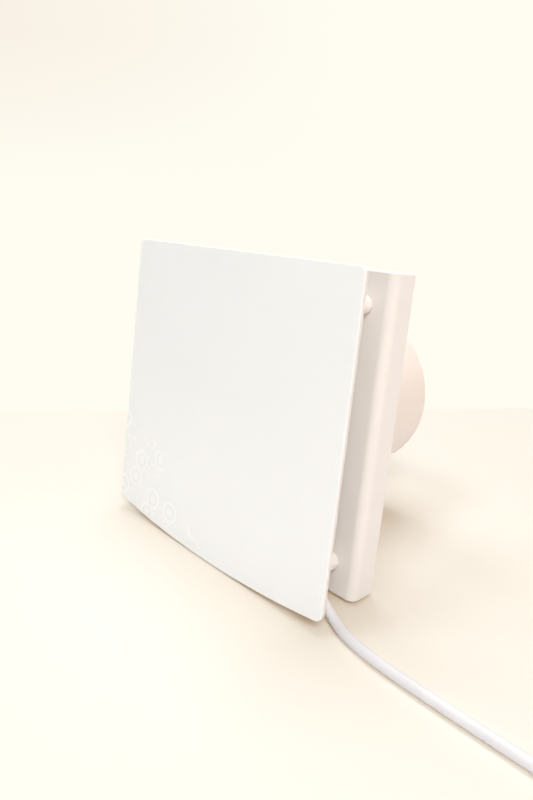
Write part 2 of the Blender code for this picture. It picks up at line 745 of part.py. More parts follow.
def build_impeller(fan, plastic, brass):
    bore = SHAFT_RADIUS + GAP
    inside = HUB_RADIUS - HUB_WALL
    cup = hub_rear - HUB_WALL
    profile = [
        (bore, hub_front + HUB_WALL),
        (bore, hub_rear),
        (HUB_RADIUS - 1.5 * HUB_WALL, hub_rear),
        (HUB_RADIUS, hub_rear - 1.5 * HUB_WALL),
        (HUB_RADIUS, hub_front),
        (inside, hub_front),
        (inside, cup - HUB_WALL),
        (inside - HUB_WALL, cup),
        (HUB_BOSS_RADIUS, cup),
        (HUB_BOSS_RADIUS, hub_front + HUB_WALL),
    ]
    impeller = add_piece("impeller", turned(profile), plastic, fan)
    blades = []
    for k in range(BLADE_COUNT):
        blade = fan_blade()
        blade.transform(Matrix.Rotation(2 * math.pi * k / BLADE_COUNT, 4, "Y"))
        blades.append(blade)
    shape_with(impeller, "impeller_blades", merged(*blades), "UNION")
    start = hub_rear + GAP
    hexagon = arc((0, 0), NUT_RADIUS, 0, 300, 5)
    nut = add_piece("impeller_nut", prism(hexagon, start, nut_rear), brass, fan)
    shape_with(nut, "nut_bore", rod(bore, start - GAP, nut_rear + GAP, sides=SMALL_SIDES), "DIFFERENCE")


def knuckle(low, high, tail, tail_half, toward):
    """A hinge knuckle round the damper pin. Its straight tail points to +X, turned by toward degrees."""
    half = math.degrees(math.asin(tail_half / KNUCKLE_RADIUS))
    outline = arc((0, 0), KNUCKLE_RADIUS, half, 360 - half, 14)
    outline += [(tail, -tail_half), (tail, tail_half)]
    bm = prism(outline, low, high, along="Z")
    bm.transform(Matrix.Rotation(math.radians(toward), 4, "Z"))
    return bm


def upright_rod(radius, reach):
    profile = [(0, -reach), (radius, -reach), (radius, reach), (0, reach)]
    return turned(profile, sides=SMALL_SIDES, axis="Z")


def build_damper(hinge, plastic, steel):
    """The frame and its pin, modelled about the pin like all the damper's pieces."""
    front = damper_front - hinge_y
    seat_rear = -FLAP_THICKNESS / 2 - GAP
    rim_rear = front + DAMPER_DEPTH
    profile = [
        (damper_radius, front),
        (damper_radius, rim_rear),
        (damper_inside, rim_rear),
        (damper_inside, seat_rear),
        (damper_inside - DAMPER_SEAT, seat_rear),
        (damper_inside - DAMPER_SEAT, front),
    ]
    frame = add_piece("damper_frame", turned(profile, sides=DUCT_SIDES), plastic, hinge)
    half = DAMPER_BAR_WIDTH / 2
    middle_of_rim = damper_inside + 0.5 * DAMPER_RIM
    height = math.sqrt(middle_of_rim**2 - half**2)
    bar = block((-half, half), (front + GAP, front + DAMPER_BAR_DEPTH), (-height, height))
    shape_with(frame, "damper_bar", bar, "UNION")
    tail = -front - DAMPER_BAR_DEPTH / 2
    boss_low = damper_inside - DAMPER_BOSS_LENGTH
    boss_high = math.sqrt(middle_of_rim**2 - KNUCKLE_RADIUS**2)
    spans = [(boss_low, boss_high), (-boss_high, -boss_low), (-LUG_LENGTH / 2, LUG_LENGTH / 2)]
    lugs = [knuckle(low, high, tail, 0.8 * KNUCKLE_RADIUS, -90) for low, high in spans]
    shape_with(frame, "damper_lugs", merged(*lugs), "UNION")
    reach = boss_low + PIN_BITE
    shape_with(frame, "damper_pin_hole", upright_rod(PIN_RADIUS + GAP, reach), "DIFFERENCE")
    add_piece("damper_pin", upright_rod(PIN_RADIUS, reach - GAP), steel, hinge)


def build_flap(name, side, hinge, plastic):
    """One half-round flap: side is +1 for the right flap, and -1 for the left one, turned half round."""
    inner = FLAP_FROM_PIN
    end = math.degrees(math.acos(inner / flap_radius))
    outline = arc((0, 0), flap_radius, -end, end, FLAP_ARC_STEPS)
    plate = prism(outline, -FLAP_THICKNESS / 2, FLAP_THICKNESS / 2)
    spans = [(-KNUCKLE_NEAR - KNUCKLE_LENGTH, -KNUCKLE_NEAR), (KNUCKLE_FAR, KNUCKLE_FAR + KNUCKLE_LENGTH)]
    tail = inner + 2 * FLAP_THICKNESS
    tail_half = FLAP_THICKNESS / 2 + GAP
    knuckles = merged(*[knuckle(low, high, tail, tail_half, 0) for low, high in spans])
    if side < 0:
        half_turn = Matrix.Rotation(math.pi, 4, "Y")
        plate.transform(half_turn)
        knuckles.transform(half_turn)
    flap = add_piece(name, plate, plastic, hinge)
    shape_with(flap, name + "_knuckles", knuckles, "UNION")
    shape_with(flap, name + "_pin_hole", upright_rod(PIN_RADIUS + GAP, flap_radius), "DIFFERENCE")


def build_flap_spring(name, side, hinge, steel):
    """A torsion spring on the pin, between the frame's middle lug and a flap's near knuckle."""
    low = LUG_LENGTH / 2 + GAP
    high = KNUCKLE_NEAR - GAP
    stub = 2 * SPRING_WIRE_RADIUS
    count = SPRING_CURLS * SPRING_POINTS_PER_CURL
    points = [(SPRING_COIL_RADIUS, 0, low)]
    for k in range(count + 1):
        angle = 2 * math.pi * k / SPRING_POINTS_PER_CURL
        height = low + stub + (high - low - 2 * stub) * k / count
        points.append((SPRING_COIL_RADIUS * math.cos(angle), SPRING_COIL_RADIUS * math.sin(angle), height))
    points.append((*points[-1][:2], high))
    points = np.array(points)
    gap = least_self_gap(points, SPRING_WIRE_RADIUS, SPRING_POINTS_PER_CURL // 2)
    print(f"{name}: least gap between its curls {gap / MM:.2f} mm")
    points[:, 2] *= -side
    tube(name, points, SPRING_WIRE_RADIUS, 1, steel, hinge)


def build_terminals(fan, plastic, dark, steel):
    seat = casing_front - GAP
    wall = TERMINAL_WALL
    cover = block((-TERMINAL_LEFT, TERMINAL_RIGHT), (terminal_front, seat), (terminal_bottom, terminal_top))
    cover = add_piece("terminal_cover", cover, plastic, fan)
    inside = ((wall - TERMINAL_LEFT, TERMINAL_RIGHT - wall), (terminal_front + wall, seat + wall))
    hollow = block(*inside, (terminal_bottom + wall, terminal_top - wall))
    shape_with(cover, "terminal_hollow", hollow, "DIFFERENCE")
    port = RELIEF_STUB_RADIUS + GAP
    outlet = [(0, 0), (port, 0), (port, TERMINAL_RIGHT + wall), (0, TERMINAL_RIGHT + wall)]
    outlet = turned(outlet, sides=SMALL_SIDES, axis="X")
    outlet.transform(Matrix.Translation((0, cord_y, cord_z)))
    shape_with(cover, "terminal_outlet", outlet, "DIFFERENCE")
    screw_x = TERMINAL_SCREW_FROM_LEFT - TERMINAL_LEFT
    screw_z = cord_z
    hole = SCREW_RADIUS + GAP
    drill = rod(hole, terminal_front - wall, terminal_front + 2 * wall, screw_x, screw_z, SMALL_SIDES)
    shape_with(cover, "terminal_screw_hole", drill, "DIFFERENCE")
    left = wall + GAP - TERMINAL_LEFT
    saddle = cord_y + RELIEF_STUB_RADIUS + GAP
    right = TERMINAL_RIGHT - wall - GAP
    step = left + TERMINAL_BLOCK_LENGTH
    top = seat - TERMINAL_BLOCK_DEPTH
    outline = [(left, seat), (left, top), (step, top), (step, saddle), (right, saddle), (right, seat)]
    height = (terminal_bottom + wall + GAP, terminal_top - wall - GAP)
    blocks = add_piece("terminal_block", prism(outline, *height, along="Z"), dark, fan)
    clamp_right = TERMINAL_RIGHT - wall - CLAMP_FROM_WALL
    clamp_x = clamp_right - CLAMP_LENGTH / 2
    hole_end = seat - 2 * GAP
    drills = [rod(hole, top - GAP, hole_end, screw_x, screw_z, SMALL_SIDES)]
    clamp_hole = CLAMP_SCREW_RADIUS + GAP
    heights = [cord_z + s * CLAMP_SCREW_OFFSET for s in (1, -1)]
    drills += [rod(clamp_hole, saddle - GAP, hole_end, clamp_x, z, SMALL_SIDES) for z in heights]
    shape_with(blocks, "terminal_block_holes", merged(*drills), "DIFFERENCE")
    head = terminal_front - GAP
    screw("terminal_cover_screw", head, 1, hole_end - 2 * GAP - head, screw_x, screw_z, steel, fan)
    clamp_front = clamp_rear - CLAMP_THICKNESS
    reach = CLAMP_SCREW_OFFSET + CLAMP_HEAD_RADIUS
    clamp_height = (cord_z - reach, cord_z + reach)
    clamp = block((clamp_right - CLAMP_LENGTH, clamp_right), (clamp_front, clamp_rear), clamp_height)
    clamp = add_piece("cable_clamp", clamp, steel, fan)
    depth = (clamp_front - GAP, clamp_rear + GAP)
    drills = [rod(clamp_hole, *depth, clamp_x, z, SMALL_SIDES) for z in heights]
    shape_with(clamp, "clamp_holes", merged(*drills), "DIFFERENCE")
    head = clamp_front - GAP
    profile = [
        (0, head - CLAMP_HEAD_HEIGHT),
        (CLAMP_HEAD_RADIUS, head - CLAMP_HEAD_HEIGHT),
        (CLAMP_HEAD_RADIUS, head),
        (CLAMP_SCREW_RADIUS, head),
        (CLAMP_SCREW_RADIUS, seat - 4 * GAP),
        (0, seat - 4 * GAP),
    ]
    for name, z in zip(("upper", "lower"), heights):
        add_piece("clamp_screw_" + name, turned(profile, clamp_x, z, SMALL_SIDES), steel, fan)


def build_strain_relief(fan, finish):
    start = TERMINAL_RIGHT - RELIEF_STUB_LENGTH
    collar = TERMINAL_RIGHT + GAP
    boot = collar + RELIEF_COLLAR_LENGTH
    profile = [
        (0, start),
        (RELIEF_STUB_RADIUS, start),
        (RELIEF_STUB_RADIUS, collar),
        (RELIEF_COLLAR_RADIUS, collar),
        (RELIEF_COLLAR_RADIUS, boot),
        (RELIEF_BOOT_RADIUS, boot),
        (RELIEF_BOOT_END_RADIUS, relief_end),
        (0, relief_end),
    ]
    bm = turned(profile, sides=SMALL_SIDES, axis="X")
    bm.transform(Matrix.Translation((0, cord_y, cord_z)))
    add_piece("strain_relief", bm, finish, fan)


def build_motor_lead(fan, finish):
    start = terminal_top + GAP
    end = -CAN_RADIUS - GAP
    points = []
    for share in np.linspace(0, 1, LEAD_POINTS):
        bow = LEAD_BOW * math.sin(math.pi * share) ** 2
        points.append((0, arm_front - bow, start + share * (end - start)))
    tube("motor_lead", points, LEAD_RADIUS, 2, finish, fan)


def coil_radius(turn):
    return COIL_INNER_RADIUS + (CORD_DIAMETER + COIL_TURN_GAP) * abs(turn - COIL_TURNS / 2)


def coil_height(turn):
    """The lower layer, then the upper one, with the climb in the half turn where the spiral reverses."""
    low = TIE_THICKNESS + GAP + cord_radius
    climb = min(1.0, max(0.0, 2 * (turn - COIL_TURNS / 2) + 0.5))
    return low + climb * (CORD_DIAMETER + COIL_TURN_GAP)


def build_cord(material, tie_material):
    exit_point = fan_to_world @ Vector((relief_end + GAP, cord_y, cord_z))
    centre_y = CORD_LAY_Y + coil_radius(0)
    coil = []
    for k in range(round(COIL_TURNS * COIL_POINTS_PER_TURN) + 1):
        turn = k / COIL_POINTS_PER_TURN
        angle = 2 * math.pi * turn - math.pi / 2
        reach = coil_radius(turn)
        place = (COIL_CENTRE_X + reach * math.cos(angle), centre_y + reach * math.sin(angle))
        coil.append((*place, coil_height(turn)))
    first = Vector(coil[0])
    last = Vector(coil[-1])
    coil.insert(0, tuple(first - Vector((CORD_DIAMETER, 0, 0))))
    coil.append(tuple(last + Vector((0, CORD_DIAMETER, 0))))
    route = [
        exit_point,
        exit_point + Vector((CORD_DIAMETER, 0, 0)),
        Vector((57, -54.5, 15.5)) * MM,
        Vector((62, -55.1, 13.6)) * MM,
        Vector((67, -55.9, 10.7)) * MM,
        Vector((73, -57.0, 6.9)) * MM,
        Vector((79, -58.8, 4.1)) * MM,
        Vector((85, -61.4, 2.8)) * MM,
        Vector((92, -64.3, 2.55)) * MM,
        Vector((102, -66.7, 2.55)) * MM,
        Vector((114.5, -68.2, 2.55)) * MM,
        Vector((128, -68.7, 2.55)) * MM,
        Vector((142, -68.9, 2.55)) * MM,
        Vector((157, -68.9, 2.55)) * MM,
        Vector((172, -68.8, 2.6)) * MM,
        Vector((187, -68.8, 2.8)) * MM,
        Vector((202, -68.8, 3.3)) * MM,
        first - Vector((2 * CORD_DIAMETER + GAP, 0, 0)),
        first - Vector((CORD_DIAMETER + GAP, 0, 0)),
    ]
    path = smooth_path(route, CORD_POINT_SPACING)
    tube("power_cord", path, cord_radius, 2, material, None)
    tube("cord_coil", coil, cord_radius, 1, material, None)
    start = last + Vector((0, CORD_DIAMETER + GAP, 0))
    plug_height = PLUG_HEIGHT / 2
    end = Vector((start.x, start.y + TAIL_LENGTH, plug_height))
    straight = Vector((0, CORD_DIAMETER, 0))
    tail = smooth_path([start, start + straight, end - straight, end], CORD_DIAMETER)
    tube("cord_tail", tail, cord_radius, 2, material, None)
    gap = least_self_gap(np.array(coil), cord_radius, COIL_POINTS_PER_TURN // 2)
    print(f"cord_coil: least gap between its loops {gap / MM:.2f} mm")
    print(f"cord: {path_length(path) + path_length(coil) + path_length(tail):.3f} m long")
    build_tie(centre_y, tie_material)
    return end


def build_tie(centre_y, material):
    """A band round the coil's loops, on the side away from the fan's front."""
    turns = [k + 0.5 for k in range(math.floor(COIL_TURNS))]
    radii = [coil_radius(t) for t in turns]
    inner = centre_y + min(radii) - cord_radius - TIE_SLACK
    outer = centre_y + max(radii) + cord_radius + TIE_SLACK
    top = coil_height(COIL_TURNS) + cord_radius + GAP
    wall = TIE_THICKNESS
    half = TIE_WIDTH / 2
    width = (COIL_CENTRE_X - half, COIL_CENTRE_X + half)
    band = block(width, (inner - wall, outer + wall), (0, top + wall))
    band = add_piece("cord_tie", band, material, None)
    hole = block((width[0] - wall, width[1] + wall), (inner, outer), (wall, top))
    shape_with(band, "tie_hole", hole, "DIFFERENCE")


def build_plug(cord_end, plastic, metal):
    start = cord_end.y + GAP
    body_start = start + GUARD_LENGTH + GAP
    body_end = body_start + PLUG_LENGTH
    guard_end = start + GUARD_LENGTH
    guard = [(0, start), (GUARD_END_RADIUS, start), (GUARD_RADIUS, guard_end), (0, guard_end)]
    add_piece("plug_guard", turned(guard, cord_end.x, cord_end.z, SMALL_SIDES), plastic, None)
    half = PLUG_WIDTH / 2
    width = (cord_end.x - half, cord_end.x + half)
    body = block(width, (body_start, body_end), (0, PLUG_HEIGHT))
    long_edges = [e for e in body.edges if not near(e.verts[0].co.y, e.verts[1].co.y)]
    round_edges(body, long_edges, PLUG_CORNER, 3)
    add_piece("plug_body", body, plastic, None)
    blade_z = (cord_end.z - BLADE_WIDTH / 2, cord_end.z + BLADE_WIDTH / 2)
    blade_y = (body_end + GAP, body_end + GAP + BLADE_LENGTH)
    for name, side in (("left", -1), ("right", 1)):
        middle = cord_end.x + side * BLADE_SPACING / 2
        width = (middle - BLADE_GAUGE / 2, middle + BLADE_GAUGE / 2)
        add_piece("plug_blade_" + name, block(width, blade_y, blade_z), metal, None)


def build():
    clear_scene()
    gloss = make_material("gloss_white", (0.90, 0.90, 0.88), 0.2)
    white = make_material("satin_white", (0.88, 0.87, 0.84), 0.4)
    grey = make_material("grey_paint", (0.42, 0.43, 0.44), 0.5)
    dark = make_material("dark_plastic", (0.10, 0.10, 0.11), 0.5)
    foam = make_material("grey_foam", (0.30, 0.30, 0.31), 0.9)
    rubber = make_material("black_rubber", (0.05, 0.05, 0.05), 0.8)
    steel = make_material("zinc_steel", (0.62, 0.62, 0.60), 0.35, 1.0)
    core = make_material("lamination_steel", (0.30, 0.30, 0.31), 0.5, 1.0)
    copper = make_material("enamelled_copper", (0.60, 0.27, 0.12), 0.4, 1.0)
    bronze = make_material("bronze", (0.60, 0.44, 0.22), 0.4, 1.0)
    cord = make_material("white_cord", (0.86, 0.86, 0.86), 0.45)
    fan = bpy.data.objects.new("fan", None)
    bpy.context.scene.collection.objects.link(fan)
    fan.matrix_world = fan_to_world
    hinge = bpy.data.objects.new("damper_hinge", None)
    bpy.context.scene.collection.objects.link(hinge)
    hinge.parent = fan
    hinge.location = (0, hinge_y, 0)
    build_front_panel(fan, gloss)
    build_panel_posts(fan, white)
    build_casing_shell(fan, white)
    build_rear_housing(fan, white)
    build_duct_spigot(fan, white)
    build_wall_gasket(fan, foam)
    build_casing_screws(fan, steel)
    build_motor_housing(fan, grey)
    build_motor_cover(fan, grey)
    build_motor_mounts(fan, rubber, steel)
    build_motor_core(fan, core, copper, bronze)
    build_rotor(fan, steel)
    build_impeller(fan, white, bronze)
    build_damper(hinge, white, steel)
    for name, side in (("left_flap", -1), ("right_flap", 1)):
        build_flap(name, side, hinge, white)
        build_flap_spring(name + "_spring", side, hinge, steel)
    build_terminals(fan, white, dark, steel)
    build_strain_relief(fan, cord)
    build_motor_lead(fan, cord)
    plug_end = build_cord(cord, cord)
    build_plug(plug_end, cord, steel)


build()
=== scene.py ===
import math

import bmesh
import bpy
from mathutils import Matrix, Vector


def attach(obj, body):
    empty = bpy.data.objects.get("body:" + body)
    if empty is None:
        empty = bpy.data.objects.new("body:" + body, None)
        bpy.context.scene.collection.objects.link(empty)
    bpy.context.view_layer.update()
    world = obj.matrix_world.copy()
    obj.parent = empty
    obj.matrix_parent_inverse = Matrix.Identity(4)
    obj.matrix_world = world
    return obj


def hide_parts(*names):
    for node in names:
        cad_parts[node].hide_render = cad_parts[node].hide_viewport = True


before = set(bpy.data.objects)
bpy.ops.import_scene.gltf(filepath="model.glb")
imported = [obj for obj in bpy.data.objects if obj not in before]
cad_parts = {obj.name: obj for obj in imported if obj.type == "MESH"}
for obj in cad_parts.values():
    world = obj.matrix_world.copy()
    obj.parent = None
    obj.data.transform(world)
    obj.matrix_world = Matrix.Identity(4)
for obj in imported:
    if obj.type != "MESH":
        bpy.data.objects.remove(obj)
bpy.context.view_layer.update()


# Camera. It stands to the right of the fan's front and a little above it, with a wide lens.
# Its shifts are shares of the long side of a picture of 533 by 800.
camera = bpy.data.objects.new("photo_camera", bpy.data.cameras.new("photo_camera"))
camera.data.lens = 28.149
camera.data.shift_x = 0.0014
camera.data.shift_y = -0.0879
camera.data.clip_start = 0.01
camera.matrix_world = Matrix((
    (0.70064, -0.17075, 0.69278, 0.24385),
    (0.71327, 0.14238, -0.68627, -0.26898),
    (0.01854, 0.97497, 0.22155, 0.20283),
    (0, 0, 0, 1),
))
bpy.context.scene.collection.objects.link(camera)
bpy.context.scene.camera = camera
bpy.context.scene.view_settings.view_transform = "Standard"


# Mains cord. A round three-core cord in a soft white PVC sheath, extruded in one length. It comes out of
# the strain relief, drops to the floor, runs off to the right and is wound there in two layers of turns.
class Shade:
    """A socket in a recipe's nodes that takes part in Python sums."""

    def __init__(self, recipe, socket):
        self.recipe = recipe
        self.socket = socket

    def __add__(self, other):
        return self.recipe.maths("ADD", self, other)

    def __radd__(self, other):
        return self.recipe.maths("ADD", other, self)

    def __sub__(self, other):
        return self.recipe.maths("SUBTRACT", self, other)

    def __rsub__(self, other):
        return self.recipe.maths("SUBTRACT", other, self)

    def __mul__(self, other):
        return self.recipe.maths("MULTIPLY", self, other)

    def __rmul__(self, other):
        return self.recipe.maths("MULTIPLY", other, self)


class Recipe:
    """The nodes of a material or of the sky."""

    def __init__(self, tree):
        self.tree = tree

    def node(self, kind, settings, sockets, out=None):
        """A new node's first output, or the one named. Its settings go in before its sockets."""
        made = self.tree.nodes.new(kind)
        for name, value in settings.items():
            setattr(made, name, value)
        self.fill(made, sockets)
        if out is None:
            return Shade(self, made.outputs[0])
        return Shade(self, next(s for s in made.outputs if s.identifier == out))

    def fill(self, target, sockets):
        """Links the sockets that are given a Shade, and sets the others to their values."""
        found = {s.identifier: s for s in target.inputs}
        for name, value in sockets.items():
            if isinstance(value, Shade):
                self.tree.links.new(value.socket, found[name])
            else:
                found[name].default_value = value

    def maths(self, operation, first, second):
        sockets = {"Value": first, "Value_001": second}
        return self.node("ShaderNodeMath", {"operation": operation}, sockets)

    def spread(self, value, low, high, to_low=0.0, to_high=1.0):
        """The value between low and high, taken to the range to_low to to_high and kept inside it."""
        sockets = {"Value": value, "From Min": low, "From Max": high, "To Min": to_low, "To Max": to_high}
        return self.node("ShaderNodeMapRange", {"clamp": True}, sockets)

    def mix(self, share, first, second):
        """Two colours mixed by a share of the second."""
        colours = {"Factor_Float": share}
        for name, colour in (("A_Color", first), ("B_Color", second)):
            colours[name] = colour if isinstance(colour, Shade) else (*colour, 1)
        return self.node("ShaderNodeMix", {"data_type": "RGBA"}, colours, "Result_Color")


class Finish(Recipe):
    """A procedural material. Its `place` is the point on the piece in millimetres."""

    def __init__(self, name, leaning=True):
        self.material = bpy.data.materials.new(name)
        self.material.use_nodes = True
        super().__init__(self.material.node_tree)
        self.shader = self.tree.nodes["Principled BSDF"]
        point = self.node("ShaderNodeTexCoord", {}, {}, "Object")
        turn = {"Vector": point, "Scale": (0.001, 0.001, 0.001)}
        if leaning:
            turn["Location"] = FAN_PLACE
            turn["Rotation"] = (-FAN_LEAN, 0, 0)
        self.place = self.node("ShaderNodeMapping", {"vector_type": "TEXTURE"}, turn)

    def noise(self, size, detail=2.0, place=None):
        """Soft clouds from 0 to 1, about that many millimetres across."""
        sockets = {"Vector": place or self.place, "Scale": 1 / size, "Detail": detail}
        return self.node("ShaderNodeTexNoise", {}, sockets)

    def dents(self, height, depth):
        """A bump of that many millimetres from a height of 0 to 1."""
        sockets = {"Height": height, "Distance": 0.001 * depth, "Strength": 1.0}
        return self.node("ShaderNodeBump", {}, sockets)

    def dress(self, colour, roughness, normal, **fixed):
        """Fills in the shader, with the fixed values under its socket names."""
        self.fill(self.shader, {"Base Color": colour, "Roughness": roughness, "Normal": normal})
        self.fill(self.shader, {name.replace("_", " "): value for name, value in fixed.items()})


FAN_PLACE = (0, -0.0621426, 0.0872933)
FAN_LEAN = math.atan2(5.1, 40.7)
CORD_RADIUS = 2.5
CORD_NODES = ("power_cord", "cord_coil", "cord_tail")
COIL_MIDDLE = (222.0, -29.11)
COIL_TURNS = 6.25
COIL_REACH = 22.5
COIL_FLOOR = 3.7
TURN_PITCH = 5.5
TURN_STEPS = 24
PLUG_X = 261.69
PLUG_Z = 8

sheath = Finish("white_sheath", leaning=False)
scuffs = sheath.spread(sheath.noise(9, 4), 0.35, 0.75)
sheath_colour = sheath.mix(scuffs, (0.715, 0.7, 0.72), (0.77, 0.754, 0.775))
sheath_shine = sheath.spread(sheath.noise(2.2, 3), 0.3, 0.7, 0.36, 0.48)
sheath.dress(sheath_colour, sheath_shine, sheath.dents(sheath.noise(0.7, 3), 0.02), IOR=1.48)


def run_of(name, points, radius, finish, body, slot, *stands_for):
    """A round cord or wire on a smooth line through points in millimetres, in the row's frame."""
    curve = bpy.data.curves.new(name, "CURVE")
    curve.dimensions = "3D"
    curve.bevel_depth = 0.001 * radius
    curve.bevel_resolution = 5
    curve.resolution_u = 5
    curve.use_fill_caps = True
    spline = curve.splines.new("BEZIER")
    spline.bezier_points.add(len(points) - 1)
    for knot, point in zip(spline.bezier_points, points):
        knot.co = 0.001 * Vector(point)
        knot.handle_left_type = "AUTO"
        knot.handle_right_type = "AUTO"
    curve.materials.append(finish.material)
    obj = bpy.data.objects.new(name, curve)
    bpy.context.scene.collection.objects.link(obj)
    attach(obj, body)
    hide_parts(*stands_for)
    return obj


cord_line = [
    (45.4, -54.61, 16.31), (51.6, -54.61, 16.31), (57, -54.5, 15.5), (62, -55.1, 13.6), (67, -55.9, 10.7),
    (73, -57, 6.9), (79, -58.8, 4.1), (85, -61.4, 2.8), (92, -64.3, 2.55), (102, -66.7, 2.55),
    (114.5, -68.2, 2.55), (128, -68.7, 2.55), (142, -68.9, 2.55), (157, -68.9, 2.55), (172, -68.8, 2.6),
    (187, -68.8, 2.8), (202, -68.8, 3.3), (212, -68.8, COIL_FLOOR),
]
for step in range(round(TURN_STEPS * COIL_TURNS) + 1):
    turn = step / TURN_STEPS
    reach = COIL_REACH + TURN_PITCH * abs(turn - COIL_TURNS / 2)
    climb = min(1.0, max(0.0, 2 * (turn - COIL_TURNS / 2) + 0.5))
    across = COIL_MIDDLE[0] + reach * math.sin(2 * math.pi * turn)
    along = COIL_MIDDLE[1] - reach * math.cos(2 * math.pi * turn)
    cord_line.append((across, along, COIL_FLOOR + TURN_PITCH * climb))
cord_line += [(PLUG_X, -19, 9.2), (PLUG_X, 1.2, PLUG_Z), (PLUG_X, 8, PLUG_Z)]
cord = run_of("mains_cord", cord_line, CORD_RADIUS, sheath, "casing", "white_cord", *CORD_NODES)


# Strain relief. A tapered boot moulded round the cord in the same soft PVC, with ring grooves that let it
# bend. Its collar seats against the terminal cover, and the clamp inside holds its plain stub.
FAN = Matrix.Translation(FAN_PLACE) @ Matrix.Rotation(-FAN_LEAN, 4, "X") @ Matrix.Scale(0.001, 4)
FLOOR = Matrix.Scale(0.001, 4)
CORD_HOLE = (0, 16.3, -69.5)
STUB_START = 7
STUB_RADIUS = 3
COLLAR_START = 20.3
COLLAR_END = 22.3
COLLAR_RADIUS = 5
BOOT_RADIUS = 4.4
BOOT_END = 46.3
GROOVE_DEPTH = 0.8
ROUNDED = {
    "offset_type": "OFFSET", "profile": 0.5, "affect": "EDGES", "clamp_overlap": True, "material": -1,
}


def turned(profile, steps):
    """A bmesh turned about Y from (radius, Y) points. A profile off the axis closes on itself."""
    bm = bmesh.new()
    verts = [bm.verts.new((radius, along, 0)) for radius, along in profile]
    ends = verts[1:] + verts[:1] if profile[0][0] > 0 else verts[1:]
    edges = [bm.edges.new(pair) for pair in zip(verts, ends)]
    about = {"axis": (0, 1, 0), "cent": (0, 0, 0), "angle": 2 * math.pi}
    bmesh.ops.spin(bm, geom=verts + edges, steps=steps, use_merge=True, **about)
    bmesh.ops.remove_doubles(bm, verts=bm.verts, dist=0.0005)
    bmesh.ops.recalc_face_normals(bm, faces=bm.faces)
    return bm


def softened(bm, width, segments, least=40, keep=None):
    """The bmesh with each edge that turns by more than least degrees rounded off.

    Where keep is given, only edges with both ends at points that it accepts are rounded.
    """
    sharp = [e for e in bm.edges if len(e.link_faces) == 2 and e.calc_face_angle() > math.radians(least)]
    if keep:
        sharp = [e for e in sharp if all(keep(v.co) for v in e.verts)]
    bmesh.ops.bevel(bm, geom=sharp, offset=width, segments=segments, **ROUNDED)
    return bm


def moved(bm, place, turn=0, about="Y"):
    """The bmesh turned by degrees about an axis through the origin, then carried to a place."""
    bm.transform(Matrix.Translation(place) @ Matrix.Rotation(math.radians(turn), 4, about))
    return bm


def ring_groove(before, after, start, width):
    """The profile of a groove round a boot, between the radii before and after it."""
    bottom = before - GROOVE_DEPTH
    end = start + width
    return [(before, start), (bottom, start + 0.3), (bottom, end - 0.3), (after, end)]


def add_piece(name, bm, finish, body, slot, *stands_for, place=FAN):
    """A finished piece from a bmesh in millimetres, in its place, riding on its body."""
    bm.transform(place)
    mesh = bpy.data.meshes.new(name)
    bm.to_mesh(mesh)
    bm.free()
    mesh.shade_smooth()
    mesh.set_sharp_from_angle(angle=math.radians(40))
    mesh.materials.append(finish.material)
    obj = bpy.data.objects.new(name, mesh)
    bpy.context.scene.collection.objects.link(obj)
    level = obj.modifiers.new("even_shading", "WEIGHTED_NORMAL")
    level.keep_sharp = True
    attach(obj, body)
    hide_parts(*stands_for)
    return obj


relief = [(0, STUB_START), (STUB_RADIUS, STUB_START), (STUB_RADIUS, COLLAR_START)]
relief += [(COLLAR_RADIUS, COLLAR_START), (COLLAR_RADIUS, COLLAR_END), (BOOT_RADIUS, COLLAR_END)]
for ring in range(6):
    start = COLLAR_END + 2.3 + 3.1 * ring
    radius = BOOT_RADIUS - 0.05 * (start - COLLAR_END)
    relief += ring_groove(radius, radius - 0.06, start, 1.6)
bore = CORD_RADIUS + 0.05
relief += [(3.2, BOOT_END), (bore, BOOT_END), (bore, BOOT_END - 2.3), (0, BOOT_END - 2.3)]
boot = softened(turned(relief, 48), 0.22, 2)
boot = moved(boot, CORD_HOLE, -90, "Z")
add_piece("cord_boot", boot, sheath, "casing", "white_cord", "strain_relief")


# Cord tie. A flat strip of soft white plastic passed round the coil's turns and closed on itself, with a
# small ridged lock on top.
TIE_X = COIL_MIDDLE[0]
TIE_NEAR = -8.4
TIE_FAR = 11.7
TIE_TOP = 12.9
TIE_THICKNESS = 0.9


def box(low, high):
    """A box between two opposite corners."""
    bm = bmesh.new()
    size = Vector(high) - Vector(low)
    middle = (Vector(high) + Vector(low)) / 2
    bmesh.ops.create_cube(bm, size=1, matrix=Matrix.Translation(middle) @ Matrix.Diagonal((*size, 1)))
    return bm


def joined(*parts):
    """One bmesh that holds several closed bodies."""
    whole = bmesh.new()
    for part in parts:
        mesh = bpy.data.meshes.new("part")
        part.to_mesh(mesh)
        part.free()
        whole.from_mesh(mesh)
        bpy.data.meshes.remove(mesh)
    return whole


def carved(bm, *tools):
    """The bmesh with the shapes of the tools cut out of it."""
    shapes = []
    for shape in (bm, joined(*tools)):
        mesh = bpy.data.meshes.new("shape")
        shape.to_mesh(mesh)
        shape.free()
        shapes.append(bpy.data.objects.new("shape", mesh))
        bpy.context.scene.collection.objects.link(shapes[-1])
    cut = shapes[0].modifiers.new("cut", "BOOLEAN")
    cut.operation = "DIFFERENCE"
    cut.object = shapes[1]
    bpy.context.view_layer.update()
    result = bmesh.new()
    result.from_object(shapes[0], bpy.context.evaluated_depsgraph_get())
    for shape in shapes:
        bpy.data.meshes.remove(shape.data)
    bmesh.ops.remove_doubles(result, verts=result.verts, dist=0.0005)
    return result


